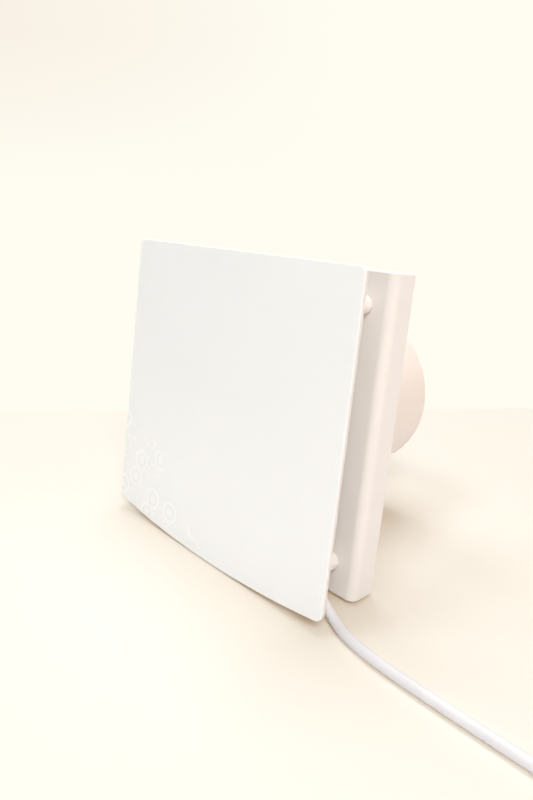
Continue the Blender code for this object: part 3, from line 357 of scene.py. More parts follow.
band = softened(box((TIE_X - 3, TIE_NEAR, 0.02), (TIE_X + 3, TIE_FAR, TIE_TOP)), 2.2, 5)
inside_low = (TIE_X - 12, TIE_NEAR + TIE_THICKNESS, TIE_THICKNESS)
inside_high = (TIE_X + 13, TIE_FAR - TIE_THICKNESS, TIE_TOP - TIE_THICKNESS)
band = carved(band, softened(box(inside_low, inside_high), 1.5, 4))
lock = softened(box((TIE_X - 3.2, -3.2, TIE_TOP - 1), (TIE_X + 3.2, 4.0, TIE_TOP)), 0.35, 2)
teeth = []
for k in range(6):
    tooth = box((TIE_X - 2.4, k - 2.4, TIE_TOP - 0.3), (TIE_X + 2.4, k - 2.0, TIE_TOP))
    teeth.append(softened(tooth, 0.1, 1))
strap = joined(band, lock, *teeth)
tie = add_piece("coil_tie", strap, sheath, "casing", "white_cord", "cord_tie", place=FLOOR)


# Plug. The guard, the grip and the two flat blades of a moulded two-pin plug. The white PVC is moulded in
# one shot round the cord's end and the blades, which are pressed from nickel-plated strip.
NECK_START = 6.6
NECK_RADIUS = 3.2
GRIP_START = 26.6
GRIP_END = 60.7
BLADE_END = 78.09


def sleeve(inner, outer, near, far, steps):
    """A plain ring about Y, or a plain rod where its inner radius is 0."""
    return turned([(inner, near), (outer, near), (outer, far), (inner, far)], steps)


guard = [(0, NECK_START), (NECK_RADIUS, NECK_START)]
for ring in range(5):
    start = NECK_START + 2 + 3.4 * ring
    radius = NECK_RADIUS + 0.115 * (start - NECK_START)
    guard += ring_groove(radius, radius + 0.2, start, 1.7)
guard += [(5.5, GRIP_START - 0.11), (0, GRIP_START - 0.11)]
neck = moved(softened(turned(guard, 48), 0.22, 2), (PLUG_X, 0, PLUG_Z))
add_piece("plug_neck", neck, sheath, "casing", "white_cord", "plug_guard", place=FLOOR)

grip = softened(box((PLUG_X - 12, GRIP_START, 0.01), (PLUG_X + 12, GRIP_END, 2 * PLUG_Z)), 3.8, 6)
grooves = []
for side in (-1, 1):
    middle = PLUG_X + 12.3 * side
    for k in range(5):
        start = GRIP_START + 6.8 + 3.2 * k
        groove = box((middle - 0.9, start, 3), (middle + 0.9, start + 1.4, 13))
        grooves.append(softened(groove, 0.3, 2))
grip = carved(grip, *grooves)
add_piece("plug_grip", grip, sheath, "casing", "white_cord", "plug_body", place=FLOOR)

nickel = Finish("nickel_plate", leaning=False)
stretch = {"Vector": nickel.place, "Vector_001": (6, 0.3, 6)}
drag = nickel.node("ShaderNodeVectorMath", {"operation": "MULTIPLY"}, stretch)
drawn = nickel.noise(1.4, 3, drag)
nickel_colour = nickel.mix(drawn, (0.62, 0.60, 0.56), (0.74, 0.72, 0.68))
nickel_shine = nickel.spread(drawn, 0.25, 0.75, 0.22, 0.4)
nickel.dress(nickel_colour, nickel_shine, nickel.dents(drawn, 0.01), Metallic=1.0)
for side, name in ((-1, "left"), (1, "right")):
    middle = PLUG_X + 6.35 * side
    root = (middle - 0.75, GRIP_END - 0.3, PLUG_Z - 3.15)
    blade = box(root, (middle + 0.75, BLADE_END, PLUG_Z + 3.15))
    blade = softened(blade, 1.6, 4, keep=lambda co: co.y > BLADE_END - 0.1)
    hole = moved(sleeve(0, 1.4, -3, 3, 24), (middle, BLADE_END - 4.49, PLUG_Z), 90, "Z")
    blade = carved(blade, hole)
    stands_for = "plug_blade_" + name
    add_piece("plug_pin_" + name, blade, nickel, "casing", "zinc_steel", stands_for, place=FLOOR)


# Floor. A plain pale sheet with a matt, faintly mottled face. It keeps a soft, warm shadow of the fan.
# Past a line behind the fan, and far out on all sides, it runs on as the bare background.
BACKGROUND = (1.0, 0.98, 0.885)
paper = Finish("cream_floor", leaning=False)


def seen_directly(recipe):
    """1 for rays of the camera, of reflections and of glass, and 0 for rays that carry light."""
    kinds = ("Is Camera Ray", "Is Glossy Ray", "Is Transmission Ray")
    rays = [recipe.node("ShaderNodeLightPath", {}, {}, kind) for kind in kinds]
    return rays[0] + rays[1] + rays[2]


seen = seen_directly(paper)
mottle = paper.spread(paper.noise(160, 3), 0.3, 0.7)
paper_colour = paper.mix(mottle, (0.905, 0.905, 0.898), (0.915, 0.915, 0.908))
paper_colour = paper.mix(seen, paper_colour, (0.754, 0.785, 0.778))
paper.dress(paper_colour, 0.8, paper.dents(paper.noise(1.5, 2), 0.02), Specular_IOR_Level=0.0)
warmth = paper.node("ShaderNodeEmission", {}, {"Color": (0.89, 0.43, 0.01, 1), "Strength": 1.0})
bare = paper.node("ShaderNodeEmission", {}, {"Color": (*BACKGROUND, 1), "Strength": 1.0})
behind = {"Vector": paper.place, "Vector_001": (-0.758638, 0.651512, 0)}
behind = paper.node("ShaderNodeVectorMath", {"operation": "DOT_PRODUCT"}, behind, "Value")
beyond = paper.spread(behind, 40, 190, 0.0, 0.4) + paper.spread(behind, 191, 196, 0.0, 0.6)
far = paper.node("ShaderNodeVectorMath", {"operation": "LENGTH"}, {"Vector": paper.place}, "Value")
beyond = paper.maths("MAXIMUM", beyond, paper.spread(far, 500, 1300))
near = Shade(paper, paper.shader.outputs["BSDF"])
near = paper.node("ShaderNodeMixShader", {}, {"Fac": seen * 0.2, "Shader": near, "Shader_001": warmth})
both = paper.node("ShaderNodeMixShader", {}, {"Fac": beyond * seen, "Shader": near, "Shader_001": bare})
paper.fill(paper.tree.nodes["Material Output"], {"Surface": both})
sheet = bmesh.new()
just_below = Matrix.Translation((0, 0, -0.0003))
bmesh.ops.create_circle(sheet, cap_ends=True, radius=8.0, segments=96, matrix=just_below)
floor_mesh = bpy.data.meshes.new("floor")
sheet.to_mesh(floor_mesh)
sheet.free()
floor_mesh.materials.append(paper.material)
floor = bpy.data.objects.new("floor", floor_mesh)
bpy.context.scene.collection.objects.link(floor)


# Light. Soft lamps high behind the fan, high on the right in front and at both sides, and an even sky.
# One more lamp lights all but the floor, and one only the floor. The camera and the reflections see the
# sky as the plain background, a little deeper at one end.
PLAIN_LIGHT = (1.0, 1.0, 1.0)
KEY_PLACE = (0.9, -0.7, 1.2)
KEY_TINT = (1.0, 0.985, 0.952)


def soft_lamp(name, place, size, power, colour):
    """A round lamp of that many metres across and that many watts, turned to the middle of the fan."""
    lamp = bpy.data.objects.new(name, bpy.data.lights.new(name, "AREA"))
    lamp.data.shape = "DISK"
    lamp.data.size = size
    lamp.data.energy = power
    lamp.data.color = colour
    lamp.location = place
    lamp.rotation_euler = (Vector((0, 0, 0.08)) - Vector(place)).to_track_quat("-Z", "Y").to_euler()
    bpy.context.scene.collection.objects.link(lamp)
    return lamp


soft_lamp("top_lamp", (-0.2, 0.27, 1.6), 0.9, 17.9, PLAIN_LIGHT)
soft_lamp("key_lamp", KEY_PLACE, 0.7, 14.2, KEY_TINT)
soft_lamp("side_lamp", (-1.3, 0.1, 0.7), 1.1, 4.6, PLAIN_LIGHT)
soft_lamp("warm_lamp", (1.25, -0.05, 0.45), 0.9, 1.4, (1.0, 0.4, 0.12))
fan_lamp = soft_lamp("fan_lamp", KEY_PLACE, 0.7, 5.2, KEY_TINT)
floor_lamp = soft_lamp("floor_lamp", (-0.3, -0.5, 1.4), 0.4, 4.5, (1.0, 0.985, 0.94))


def lit_group(name, obj, state):
    """A group for a lamp that takes in one object alone, or leaves out only that one."""
    group = bpy.data.collections.new(name)
    group.objects.link(obj)
    group.collection_objects[0].light_linking.link_state = state
    return group


fan_lamp.light_linking.receiver_collection = lit_group("all_but_floor", floor, "EXCLUDE")
floor_lamp.light_linking.receiver_collection = lit_group("floor_alone", floor, "INCLUDE")
floor_lamp.light_linking.blocker_collection = lit_group("all_but_cord", cord, "EXCLUDE")
world = bpy.data.worlds.new("cream_sky")
world.use_nodes = True
bpy.context.scene.world = world
sky = Recipe(world.node_tree)
glow = sky.node("ShaderNodeBackground", {}, {"Color": (*PLAIN_LIGHT, 1), "Strength": 0.15})
way = sky.node("ShaderNodeTexCoord", {}, {}, "Generated")
height = sky.node("ShaderNodeSeparateXYZ", {}, {"Vector": way}, "Z")
aside = {"Vector": way, "Vector_001": (-0.84, -0.54, 0)}
aside = sky.node("ShaderNodeVectorMath", {"operation": "DOT_PRODUCT"}, aside, "Value")
deeper = sky.spread(height, 0.0, 0.2) * sky.spread(aside, 0.1, 0.6)
plain = sky.mix(deeper, BACKGROUND, (0.94, 0.865, 0.775))
plain = sky.node("ShaderNodeBackground", {}, {"Color": plain, "Strength": 1.0})
share = seen_directly(sky)
either = sky.node("ShaderNodeMixShader", {}, {"Fac": share, "Shader": glow, "Shader_001": plain})
sky.fill(world.node_tree.nodes["World Output"], {"Surface": either})


# Rear housing. The square back plate with the rounded air inlet through it, injection-moulded in white
# ABS. It has stiffening ribs on its back, and four collared holes for the screws into the wall.
DUCT_BORE = 47
PLATE_HALF = 79.7
PLATE_FRONT = 38.5
PLATE_BACK = 41
LAP_RADIUS = 48
LAP_END = 44.5
WALL_HOLES = [(62 * x, 62 * z) for x in (-1, 1) for z in (-1, 1)]


def white_moulding(name, pale, deep):
    """White ABS as it leaves the mould: faint flow clouds in its colour and a fine, even spark grain."""
    finish = Finish(name)
    clouds = finish.spread(finish.noise(38, 3), 0.3, 0.7)
    specks = finish.spread(finish.noise(1.1, 2), 0.62, 0.72)
    colour = finish.mix(clouds, deep, pale)
    colour = finish.mix(specks * 0.06, colour, (0.66, 0.62, 0.57))
    roughness = finish.spread(finish.noise(14, 4), 0.3, 0.7, 0.4, 0.5)
    grain = finish.noise(0.32, 2) + 0.5 * finish.noise(4.5, 1)
    finish.dress(colour, roughness, finish.dents(grain, 0.02), IOR=1.5)
    return finish


def pushed(bm, extrusion, step):
    """Carries the points that an extrusion has made along step."""
    verts = [made for made in extrusion["geom"] if isinstance(made, bmesh.types.BMVert)]
    bmesh.ops.translate(bm, vec=step, verts=verts)


def ring_between(outer, inner, near_y, far_y):
    """A flat plate with a hole, from two functions that give a distance from the axis at each angle."""
    bm = bmesh.new()
    loops = []
    for reach in (outer, inner):
        made = bmesh.ops.create_circle(bm, radius=1, segments=128)["verts"]
        for vert in made:
            angle = math.atan2(vert.co.y, vert.co.x)
            distance = reach(angle)
            vert.co = (distance * math.cos(angle), near_y, distance * math.sin(angle))
        loops += list({e for v in made for e in v.link_edges})
    faces = bmesh.ops.bridge_loops(bm, edges=loops)["faces"]
    pushed(bm, bmesh.ops.extrude_face_region(bm, geom=faces), (0, far_y - near_y, 0))
    bmesh.ops.recalc_face_normals(bm, faces=bm.faces)
    return bm


def square(half):
    """The distance from the axis to a square's edge, by the angle."""
    return lambda angle: half / max(abs(math.cos(angle)), abs(math.sin(angle)))


def circle(radius):
    """The distance from the axis to a circle, the same at every angle."""
    return lambda angle: radius


def quarter(steps):
    """Angles of a quarter turn."""
    return [math.pi / 2 * k / steps for k in range(steps + 1)]


satin = white_moulding("satin_white_abs", (0.828, 0.783, 0.747), (0.813, 0.767, 0.731))
plate = ring_between(square(PLATE_HALF), circle(DUCT_BORE + 0.9), PLATE_FRONT, PLATE_BACK)
plate = softened(plate, 0.35, 2)
bell = [(DUCT_BORE + 5.7 * (1 - math.sin(a)), 30.3 + 9 * (1 - math.cos(a))) for a in quarter(14)]
mouth = bell + [(DUCT_BORE, LAP_END), (LAP_RADIUS, LAP_END), (LAP_RADIUS, PLATE_BACK)]
mouth += [(LAP_RADIUS + 1, PLATE_BACK - 0.1)]
mouth += [(radius + 2, along) for radius, along in reversed(bell)]
mouth = softened(turned(mouth, 128), 0.5, 3)
ribs = []
for k in range(8):
    rib = box((49.5, PLATE_BACK - 0.2, -0.7), (77.5, PLATE_BACK + 1.9, 0.7))
    rib = softened(rib, 0.4, 2)
    ribs.append(moved(rib, (0, 0, 0), 22.5 + 45 * k))
collars = []
drills = []
for x, z in WALL_HOLES:
    collar = softened(sleeve(2.4, 4.6, PLATE_BACK - 0.3, PLATE_BACK + 1.4, 32), 0.4, 2)
    collars.append(moved(collar, (x, 0, z)))
    drills.append(moved(sleeve(0, 2.5, PLATE_BACK - 5, PLATE_BACK + 5, 32), (x, 0, z)))
plate = carved(plate, *drills)
housing = joined(plate, mouth, *ribs, *collars)
add_piece("back_plate", housing, satin, "casing", "satin_white", "rear_housing")


# Duct spigot. A plain round tube that the duct slides over, moulded in the same white ABS. Its white is
# painted warmer than the casing's, as painted warm bounce light. It laps over the back plate's collar,
# and its free end has a rounded lip.
SPIGOT_RADIUS = 49
SPIGOT_START = PLATE_BACK + 0.3
SPIGOT_END = 130
lap_bore = LAP_RADIUS + 0.3
lap_end = LAP_END + 0.3
tube = [(SPIGOT_RADIUS, SPIGOT_START), (SPIGOT_RADIUS, SPIGOT_END), (DUCT_BORE, SPIGOT_END)]
tube += [(DUCT_BORE, lap_end), (lap_bore, lap_end), (lap_bore, SPIGOT_START)]
tube = softened(turned(tube, 160), 0.7, 4, keep=lambda co: co.y > SPIGOT_END - 1)
seam = sleeve(SPIGOT_RADIUS - 0.2, SPIGOT_RADIUS + 0.02, SPIGOT_END - 2.8, SPIGOT_END - 2.4, 128)
seam = softened(seam, 0.05, 1)
# The casing's white, painted warmer as painted warm bounce light.
cream = white_moulding("bounce_tinted_white_abs", (0.81, 0.722, 0.66), (0.795, 0.706, 0.644))
add_piece("spigot_tube", joined(tube, seam), cream, "casing", "satin_white", "duct_spigot")


# Wall gasket. A square ring of grey closed-cell foam, cut from sheet and stuck in the recess behind the
# back plate, so that the casing seals on the wall.
GASKET_HALF = 79
GASKET_WIDTH = 4
GASKET_BACK = 43.4
foam = Finish("grey_foam")
cells = foam.node("ShaderNodeTexVoronoi", {}, {"Vector": foam.place, "Scale": 1.6})
pores = foam.spread(cells, 0.1, 0.55)
foam_colour = foam.mix(pores, (0.17, 0.17, 0.175), (0.33, 0.33, 0.335))
foam.dress(foam_colour, 0.9, foam.dents(pores, 0.18), Specular_IOR_Level=0.2)
inner_edge = square(GASKET_HALF - GASKET_WIDTH)
strip = ring_between(square(GASKET_HALF), inner_edge, PLATE_BACK + 0.25, GASKET_BACK)
strip = softened(strip, 0.5, 3)
add_piece("foam_strip", strip, foam, "casing", "foam", "wall_gasket")


# Casing shell. The square white box with rounded left and right front edges, injection-moulded in ABS.
# The back plate is screwed in from behind, and the panel's posts push into the four sockets in its face.
CASING_HALF = 82.5
CASING_FRONT = 27.5
CASING_REAR = 43.7
CASING_WALL = 2.5
CASING_CORNER = 5
INLET_RADIUS = 53
SOCKET_RADIUS = 2.8
SCREW_HOLE = 1.8
FACE_DRILL = (20, 36)
CORNERS = (("upper_left", -1, 1), ("upper_right", 1, 1), ("lower_left", -1, -1), ("lower_right", 1, -1))
POSTS = [(name, 67 * x, 65.5 * z) for name, x, z in CORNERS]
MOTOR_EYES = [(name, 47.02 * x, 47.02 * z) for name, x, z in CORNERS]
PLATE_SCREWS = (("top", 0, 71), ("bottom", 0, -71), ("left", -71, 0), ("right", 71, 0))


def slab(outline, step):
    """A straight solid from a flat outline of points, pushed along step."""
    bm = bmesh.new()
    face = bm.faces.new([bm.verts.new(point) for point in outline])
    pushed(bm, bmesh.ops.extrude_face_region(bm, geom=[face]), step)
    bmesh.ops.recalc_face_normals(bm, faces=bm.faces)
    return bm


def casing_form(inset, rear):
    """The casing's outside, or the same form drawn in by inset."""
    half = CASING_HALF - inset
    turn = CASING_CORNER - inset
    front = CASING_FRONT + inset
    bend = [(turn * math.cos(a), -turn * math.sin(a)) for a in quarter(14)]
    right = [(half - turn + x, front + turn + y) for x, y in bend]
    left = [(-x, y) for x, y in reversed(right)]
    outline = [(half, rear)] + right + left + [(-half, rear)]
    return slab([(x, y, -half) for x, y in outline], (0, 0, 2 * half))


shell = casing_form(0, CASING_REAR)
rim = [e for e in shell.edges if abs(e.verts[0].co.z - e.verts[1].co.z) < 1e-4]
rim = [e for e in rim if not all(abs(v.co.y - CASING_REAR) < 1e-4 for v in e.verts)]
bmesh.ops.bevel(shell, geom=rim, offset=1.1, segments=5, **ROUNDED)
shell = carved(shell, casing_form(CASING_WALL, CASING_REAR + 3.3))
inlet = sleeve(0, INLET_RADIUS, *FACE_DRILL, 128)
sockets = [moved(sleeve(0, SOCKET_RADIUS, *FACE_DRILL, 32), (x, 0, z)) for _, x, z in POSTS]
eyes = [moved(sleeve(0, SCREW_HOLE, *FACE_DRILL, 24), (x, 0, z)) for _, x, z in MOTOR_EYES]
shell = carved(shell, inlet, *sockets, *eyes)
lip = sleeve(INLET_RADIUS, INLET_RADIUS + 1.6, CASING_FRONT - 0.6, CASING_FRONT + 2.4, 128)
lip = softened(lip, 0.55, 4)
bosses = []
for end, places in ((36, MOTOR_EYES), (38.2, PLATE_SCREWS)):
    for _, x, z in places:
        boss = softened(sleeve(SCREW_HOLE, 3.9, CASING_FRONT + 2, end, 32), 0.3, 2)
        bosses.append(moved(boss, (x, 0, z)))
shell = joined(shell, lip, *bosses)
add_piece("casing_box", shell, satin, "casing", "satin_white", "casing_shell")


# Screws. Zinc-plated steel screws with round heads and a cross recess, rolled and pressed cold. Four
# hold the back plate to the casing, four the motor's arms on their grommets, and one the terminal cover.
LID_SCREW = (-8, -69.5)
HEAD_RADIUS = 3
HEAD_HEIGHT = 1.8
CORE_RADIUS = 1.15
THREAD_RADIUS = 1.5
THREAD_PITCH = 1.1
zinc = Finish("zinc_plate")
spangle = zinc.node("ShaderNodeTexVoronoi", {}, {"Vector": zinc.place, "Scale": 0.9}, "Color")
tint = zinc.node("ShaderNodeSeparateColor", {}, {"Color": spangle}, "Red")
haze = zinc.noise(3, 3)
zinc_colour = zinc.mix(tint, (0.55, 0.55, 0.54), (0.70, 0.70, 0.685))
zinc_shine = zinc.spread(haze + 0.4 * tint, 0.3, 1.0, 0.24, 0.46)
zinc.dress(zinc_colour, zinc_shine, zinc.dents(zinc.noise(0.5, 2), 0.015), Metallic=1.0)


def cross_screw(head_y, toward, length, x, z):
    """A screw along Y whose head bears at head_y. Its shank points to +Y where toward is +1."""
    dome = [(HEAD_RADIUS * math.cos(a), -HEAD_HEIGHT * math.sin(a)) for a in quarter(8)]
    profile = [(0, length), (0.4, length - 0.2), (1.2, length - 2)]
    for thread in range(int((length - 3) / THREAD_PITCH)):
        at = length - 2.4 - THREAD_PITCH * thread
        profile += [(CORE_RADIUS, at), (THREAD_RADIUS, at - 0.35)]
        profile += [(THREAD_RADIUS, at - 0.5), (CORE_RADIUS, at - 0.85)]
    profile += [(1.4, 0.6), (1.4, 0), (HEAD_RADIUS, 0)] + dome[1:-1] + [(0, -HEAD_HEIGHT)]
    bm = turned(profile, 40)
    for turn in (0, 90):
        groove = box((-1.7, -3, -0.32), (1.7, -0.8, 0.32))
        bm = carved(bm, moved(groove, (0, 0, 0), turn))
    if toward < 0:
        bm.transform(Matrix.Rotation(math.pi, 4, "X"))
    return moved(bm, (x, head_y, z))


for name, x, z in PLATE_SCREWS:
    screw = cross_screw(41.3, -1, 10.7, x, z)
    add_piece("plate_screw_" + name, screw, zinc, "casing", "zinc_steel", "casing_screw_" + name)
for name, x, z in MOTOR_EYES:
    screw = cross_screw(20.5, 1, 13, x, z)
    add_piece("arm_screw_" + name, screw, zinc, "casing", "zinc_steel", "bracket_screw_" + name)
screw = cross_screw(7.7, 1, 18.3, *LID_SCREW)
add_piece("lid_screw", screw, zinc, "casing", "zinc_steel", "terminal_cover_screw")


# Motor grommets. Round double-flanged bushes of black rubber in the eyes of the motor's arms, which keep
# the motor's hum out of the casing.
ARM_FRONT = 22
ARM_BACK = 26
EYE_BORE = 4.3
FLANGE_RADIUS = 6.5
rubber = Finish("black_rubber")
bloom = rubber.noise(6, 3)
rubber_colour = rubber.mix(bloom, (0.018, 0.018, 0.019), (0.05, 0.05, 0.051))
rubber_shine = rubber.spread(bloom, 0.3, 0.7, 0.62, 0.8)
rubber_skin = rubber.dents(rubber.noise(0.4, 2), 0.03)
rubber.dress(rubber_colour, rubber_shine, rubber_skin, Specular_IOR_Level=0.3)
waist = EYE_BORE - 0.3
bush = [
    (SCREW_HOLE, ARM_FRONT - 1.2), (FLANGE_RADIUS, ARM_FRONT - 1.2), (FLANGE_RADIUS, ARM_FRONT - 0.3),
    (waist, ARM_FRONT - 0.3), (waist, ARM_BACK + 0.3), (FLANGE_RADIUS, ARM_BACK + 0.3),
    (FLANGE_RADIUS, ARM_BACK + 1.2), (SCREW_HOLE, ARM_BACK + 1.2),
]
for name, x, z in MOTOR_EYES:
    grommet = moved(softened(turned(bush, 48), 0.3, 3), (x, 0, z))
    stands_for = "vibration_grommet_" + name
    add_piece("rubber_bush_" + name, grommet, rubber, "casing", "black_rubber", stands_for)


# Motor housing. A die-cast aluminium can on four arms, sprayed grey, in the middle of the air inlet. It
# holds the rear bearing, and its arms end in eyes for the grommets.
CAN_RADIUS = 34
CAN_BORE = 31.5
CAN_FRONT = 10
CAN_BACK = 40
CAN_FLOOR = 37.5
SEAT_RADIUS = 9
SEAT_BORE = 6.3
SHAFT_RADIUS = 2.5
grey = Finish("grey_spray")
orange_peel = grey.noise(1.3, 2)
dust = grey.spread(grey.noise(22, 4), 0.35, 0.75)
grey_colour = grey.mix(dust, (0.36, 0.37, 0.38), (0.46, 0.47, 0.478))
grey_shine = grey.spread(orange_peel, 0.3, 0.7, 0.38, 0.5)
grey.dress(grey_colour, grey_shine, grey.dents(orange_peel, 0.03), IOR=1.5)
can = [(CAN_RADIUS, CAN_FRONT)]
for start in (14, 34.4):
    can += [(CAN_RADIUS, start), (CAN_RADIUS - 0.5, start + 0.4)]
    can += [(CAN_RADIUS - 0.5, start + 1.2), (CAN_RADIUS, start + 1.6)]
can += [
    (CAN_RADIUS, CAN_BACK), (SHAFT_RADIUS + 0.6, CAN_BACK), (SHAFT_RADIUS + 0.6, CAN_FLOOR),
    (SEAT_BORE, CAN_FLOOR), (SEAT_BORE, 32.2), (SEAT_RADIUS, 32.2), (SEAT_RADIUS, CAN_FLOOR),
    (CAN_BORE, CAN_FLOOR), (CAN_BORE, CAN_FRONT),
]
can = softened(turned(can, 128), 0.35, 3, 25)
arms = []
for k in range(4):
    arm = softened(box((33, ARM_FRONT, -4.5), (60.2, ARM_BACK, 4.5)), 0.7, 3)
    rib = softened(box((33, ARM_FRONT - 2.4, -1.1), (59, ARM_FRONT + 0.4, 1.1)), 0.5, 3)
    eye = softened(sleeve(EYE_BORE, 8, ARM_FRONT, ARM_BACK, 48), 0.6, 3)
    arm = joined(arm, rib, moved(eye, (66.5, 0, 0)))
    arms.append(moved(arm, (0, 0, 0), 45 + 90 * k))
add_piece("motor_can", joined(can, *arms), grey, "casing", "motor_grey", "motor_housing")


# Motor cover. A pressed aluminium lid in the same grey, pushed into the can's mouth, with a raised seat
# for the front bearing and three rivets.
LID_FRONT = 5.5
LID_BACK = 8
rim_radius = CAN_BORE - 0.3
rim_start = CAN_FRONT - 0.3
lid = [
    (0, LID_FRONT), (8, LID_FRONT), (9.2, 6.4), (22.5, 6.4), (23.2, 5.9), (31, LID_FRONT),
    (CAN_RADIUS, LID_BACK), (CAN_RADIUS, rim_start), (rim_radius, rim_start), (rim_radius, 12),
    (rim_radius - 2.5, 12), (rim_radius - 2.5, LID_BACK), (SEAT_RADIUS, LID_BACK), (SEAT_RADIUS, 13.3),
    (SEAT_BORE, 13.3), (SEAT_BORE, LID_BACK), (0, LID_BACK),
]
lid = softened(turned(lid, 128), 0.4, 3, 20)
rivet_dome = [(1.7 * math.sin(a), 6.2 - 1.1 * math.cos(a)) for a in quarter(6)[1:]]
rivets = []
for k in range(3):
    rivet = turned([(0, 5.1), *rivet_dome, (1.7, 6.9), (0, 6.9)], 32)
    rivets.append(moved(moved(rivet, (16, 0.55, 0)), (0, 0, 0), 30 + 120 * k))
add_piece("motor_lid", joined(lid, *rivets), grey, "casing", "motor_grey", "motor_cover")


# Motor inside. A stack of stamped steel sheets with two poles, two coils of enamelled copper wire,
# sintered bronze sleeves for the shaft, and a squirrel-cage rotor core. All of it is closed in by the can.
sheets = Finish("stacked_sheets")
layers = {"Vector": sheets.place, "Scale": 0.63}
layers = sheets.node("ShaderNodeTexWave", {"bands_direction": "Y"}, layers)
sheet_colour = sheets.mix(layers, (0.16, 0.16, 0.165), (0.36, 0.36, 0.365))
sheet_shine = sheets.spread(sheets.noise(4, 3), 0.3, 0.7, 0.35, 0.55)
sheets.dress(sheet_colour, sheet_shine, sheets.dents(layers, 0.08), Metallic=1.0)
wires = Finish("enamelled_wire")
strands = {"Vector": wires.place, "Scale": 0.7, "Distortion": 0.6}
strands = wires.node("ShaderNodeTexWave", {"bands_direction": "Z"}, strands)
wire_colour = wires.mix(strands, (0.30, 0.10, 0.035), (0.66, 0.29, 0.12))
wire_shine = wires.spread(strands, 0, 1, 0.45, 0.28)
wires.dress(wire_colour, wire_shine, wires.dents(strands, 0.2), Metallic=0.9)
bronze = Finish("sintered_bronze")
powder = bronze.spread(bronze.noise(0.5, 3), 0.35, 0.65)
bronze_colour = bronze.mix(powder, (0.42, 0.29, 0.13), (0.64, 0.47, 0.24))
bronze_shine = bronze.spread(powder, 0, 1, 0.5, 0.34)
bronze.dress(bronze_colour, bronze_shine, bronze.dents(powder, 0.04), Metallic=1.0)
for name, finish in (
    ("stator_core", sheets), ("rotor_core", sheets), ("upper_winding", wires), ("lower_winding", wires),
    ("front_bearing", bronze), ("rear_bearing", bronze),
):
    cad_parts[name].material_slots[0].material = finish.material


# Motor shaft. A ground steel rod that runs in the two bronze sleeves and carries the rotor core in front
# and the impeller behind.
SHAFT_FRONT = 8.6
SHAFT_BACK = 74.8
shaft = softened(sleeve(0, SHAFT_RADIUS, SHAFT_FRONT, SHAFT_BACK, 48), 0.7, 3)
add_piece("ground_shaft", shaft, zinc, "fan_rotor", "zinc_steel", "motor_shaft")


# Impeller. A seven-bladed axial wheel moulded in one piece of white ABS. Its cup-shaped hub has a boss
# that fits the shaft, and each blade twists and flattens towards its tip.
BLADES = 7
ROOT_ANGLE = 42
BLADE_LENGTH = 26.5
BLADE_MIDDLE = 57.5
HUB_RADIUS = 20
HUB_FRONT = 46
HUB_BACK = 69
HUB_WALL = 2
hub_bore = SHAFT_RADIUS + 0.3
cup_radius = HUB_RADIUS - HUB_WALL
cup_floor = HUB_BACK - HUB_WALL
hub = [
    (hub_bore, 48), (hub_bore, HUB_BACK), (HUB_RADIUS - 3, HUB_BACK), (HUB_RADIUS, HUB_BACK - 3),
    (HUB_RADIUS, HUB_FRONT), (cup_radius, HUB_FRONT), (cup_radius, cup_floor - 2),
    (cup_radius - 2, cup_floor), (6, cup_floor), (6, 48),
]
hub = softened(turned(hub, 128), 0.6, 4, 30)
webs = []
for k in range(6):
    web = softened(box((5, 52, -0.6), (18.5, 67.4, 0.6)), 0.3, 2)
    webs.append(moved(web, (0, 0, 0), 60 * k))
blades = []
chord = 17 / math.cos(math.radians(ROOT_ANGLE))
for k in range(BLADES):
    blade = bmesh.new()
    bmesh.ops.create_grid(blade, x_segments=14, y_segments=16, size=1)
    for vert in blade.verts:
        share = (vert.co.y + 1) / 2
        along = 0.5 * chord * vert.co.x
        radius = HUB_RADIUS - 1 + BLADE_LENGTH * share
        angle = math.radians(ROOT_ANGLE + 20 * share)
        lift = 0.06 * chord * (1 - vert.co.x**2)
        turn = (along * math.sin(angle) - lift * math.cos(angle)) / radius
        depth = along * math.cos(angle) + lift * math.sin(angle)
        vert.co = (radius * math.cos(turn), BLADE_MIDDLE + depth, radius * math.sin(turn))
    bmesh.ops.recalc_face_normals(blade, faces=blade.faces)
    bmesh.ops.solidify(blade, geom=blade.faces[:], thickness=1.5)
    bmesh.ops.recalc_face_normals(blade, faces=blade.faces)
    blade = softened(blade, 0.45, 3, 50)
    blades.append(moved(blade, (0, 0, 0), 360 / BLADES * k))
wheel = joined(hub, *webs, *blades)
add_piece("impeller_wheel", wheel, satin, "fan_rotor", "satin_white", "impeller")


# Impeller nut. A six-sided bronze nut, cut from drawn bar with its edges eased. It is screwed on the
# shaft's end, where it holds the impeller.
nut = bmesh.new()
bmesh.ops.create_circle(nut, cap_ends=True, radius=5, segments=6)
nut.transform(Matrix.Translation((0, HUB_BACK + 0.3, 0)) @ Matrix.Rotation(math.pi / 2, 4, "X"))
pushed(nut, bmesh.ops.extrude_face_region(nut, geom=nut.faces[:]), (0, 4, 0))
bmesh.ops.recalc_face_normals(nut, faces=nut.faces)
nut = softened(nut, 0.5, 2)
nut = carved(nut, sleeve(0, SHAFT_RADIUS + 0.25, 66, 76, 32))
add_piece("hex_nut", nut, bronze, "fan_rotor", "bronze", "impeller_nut")


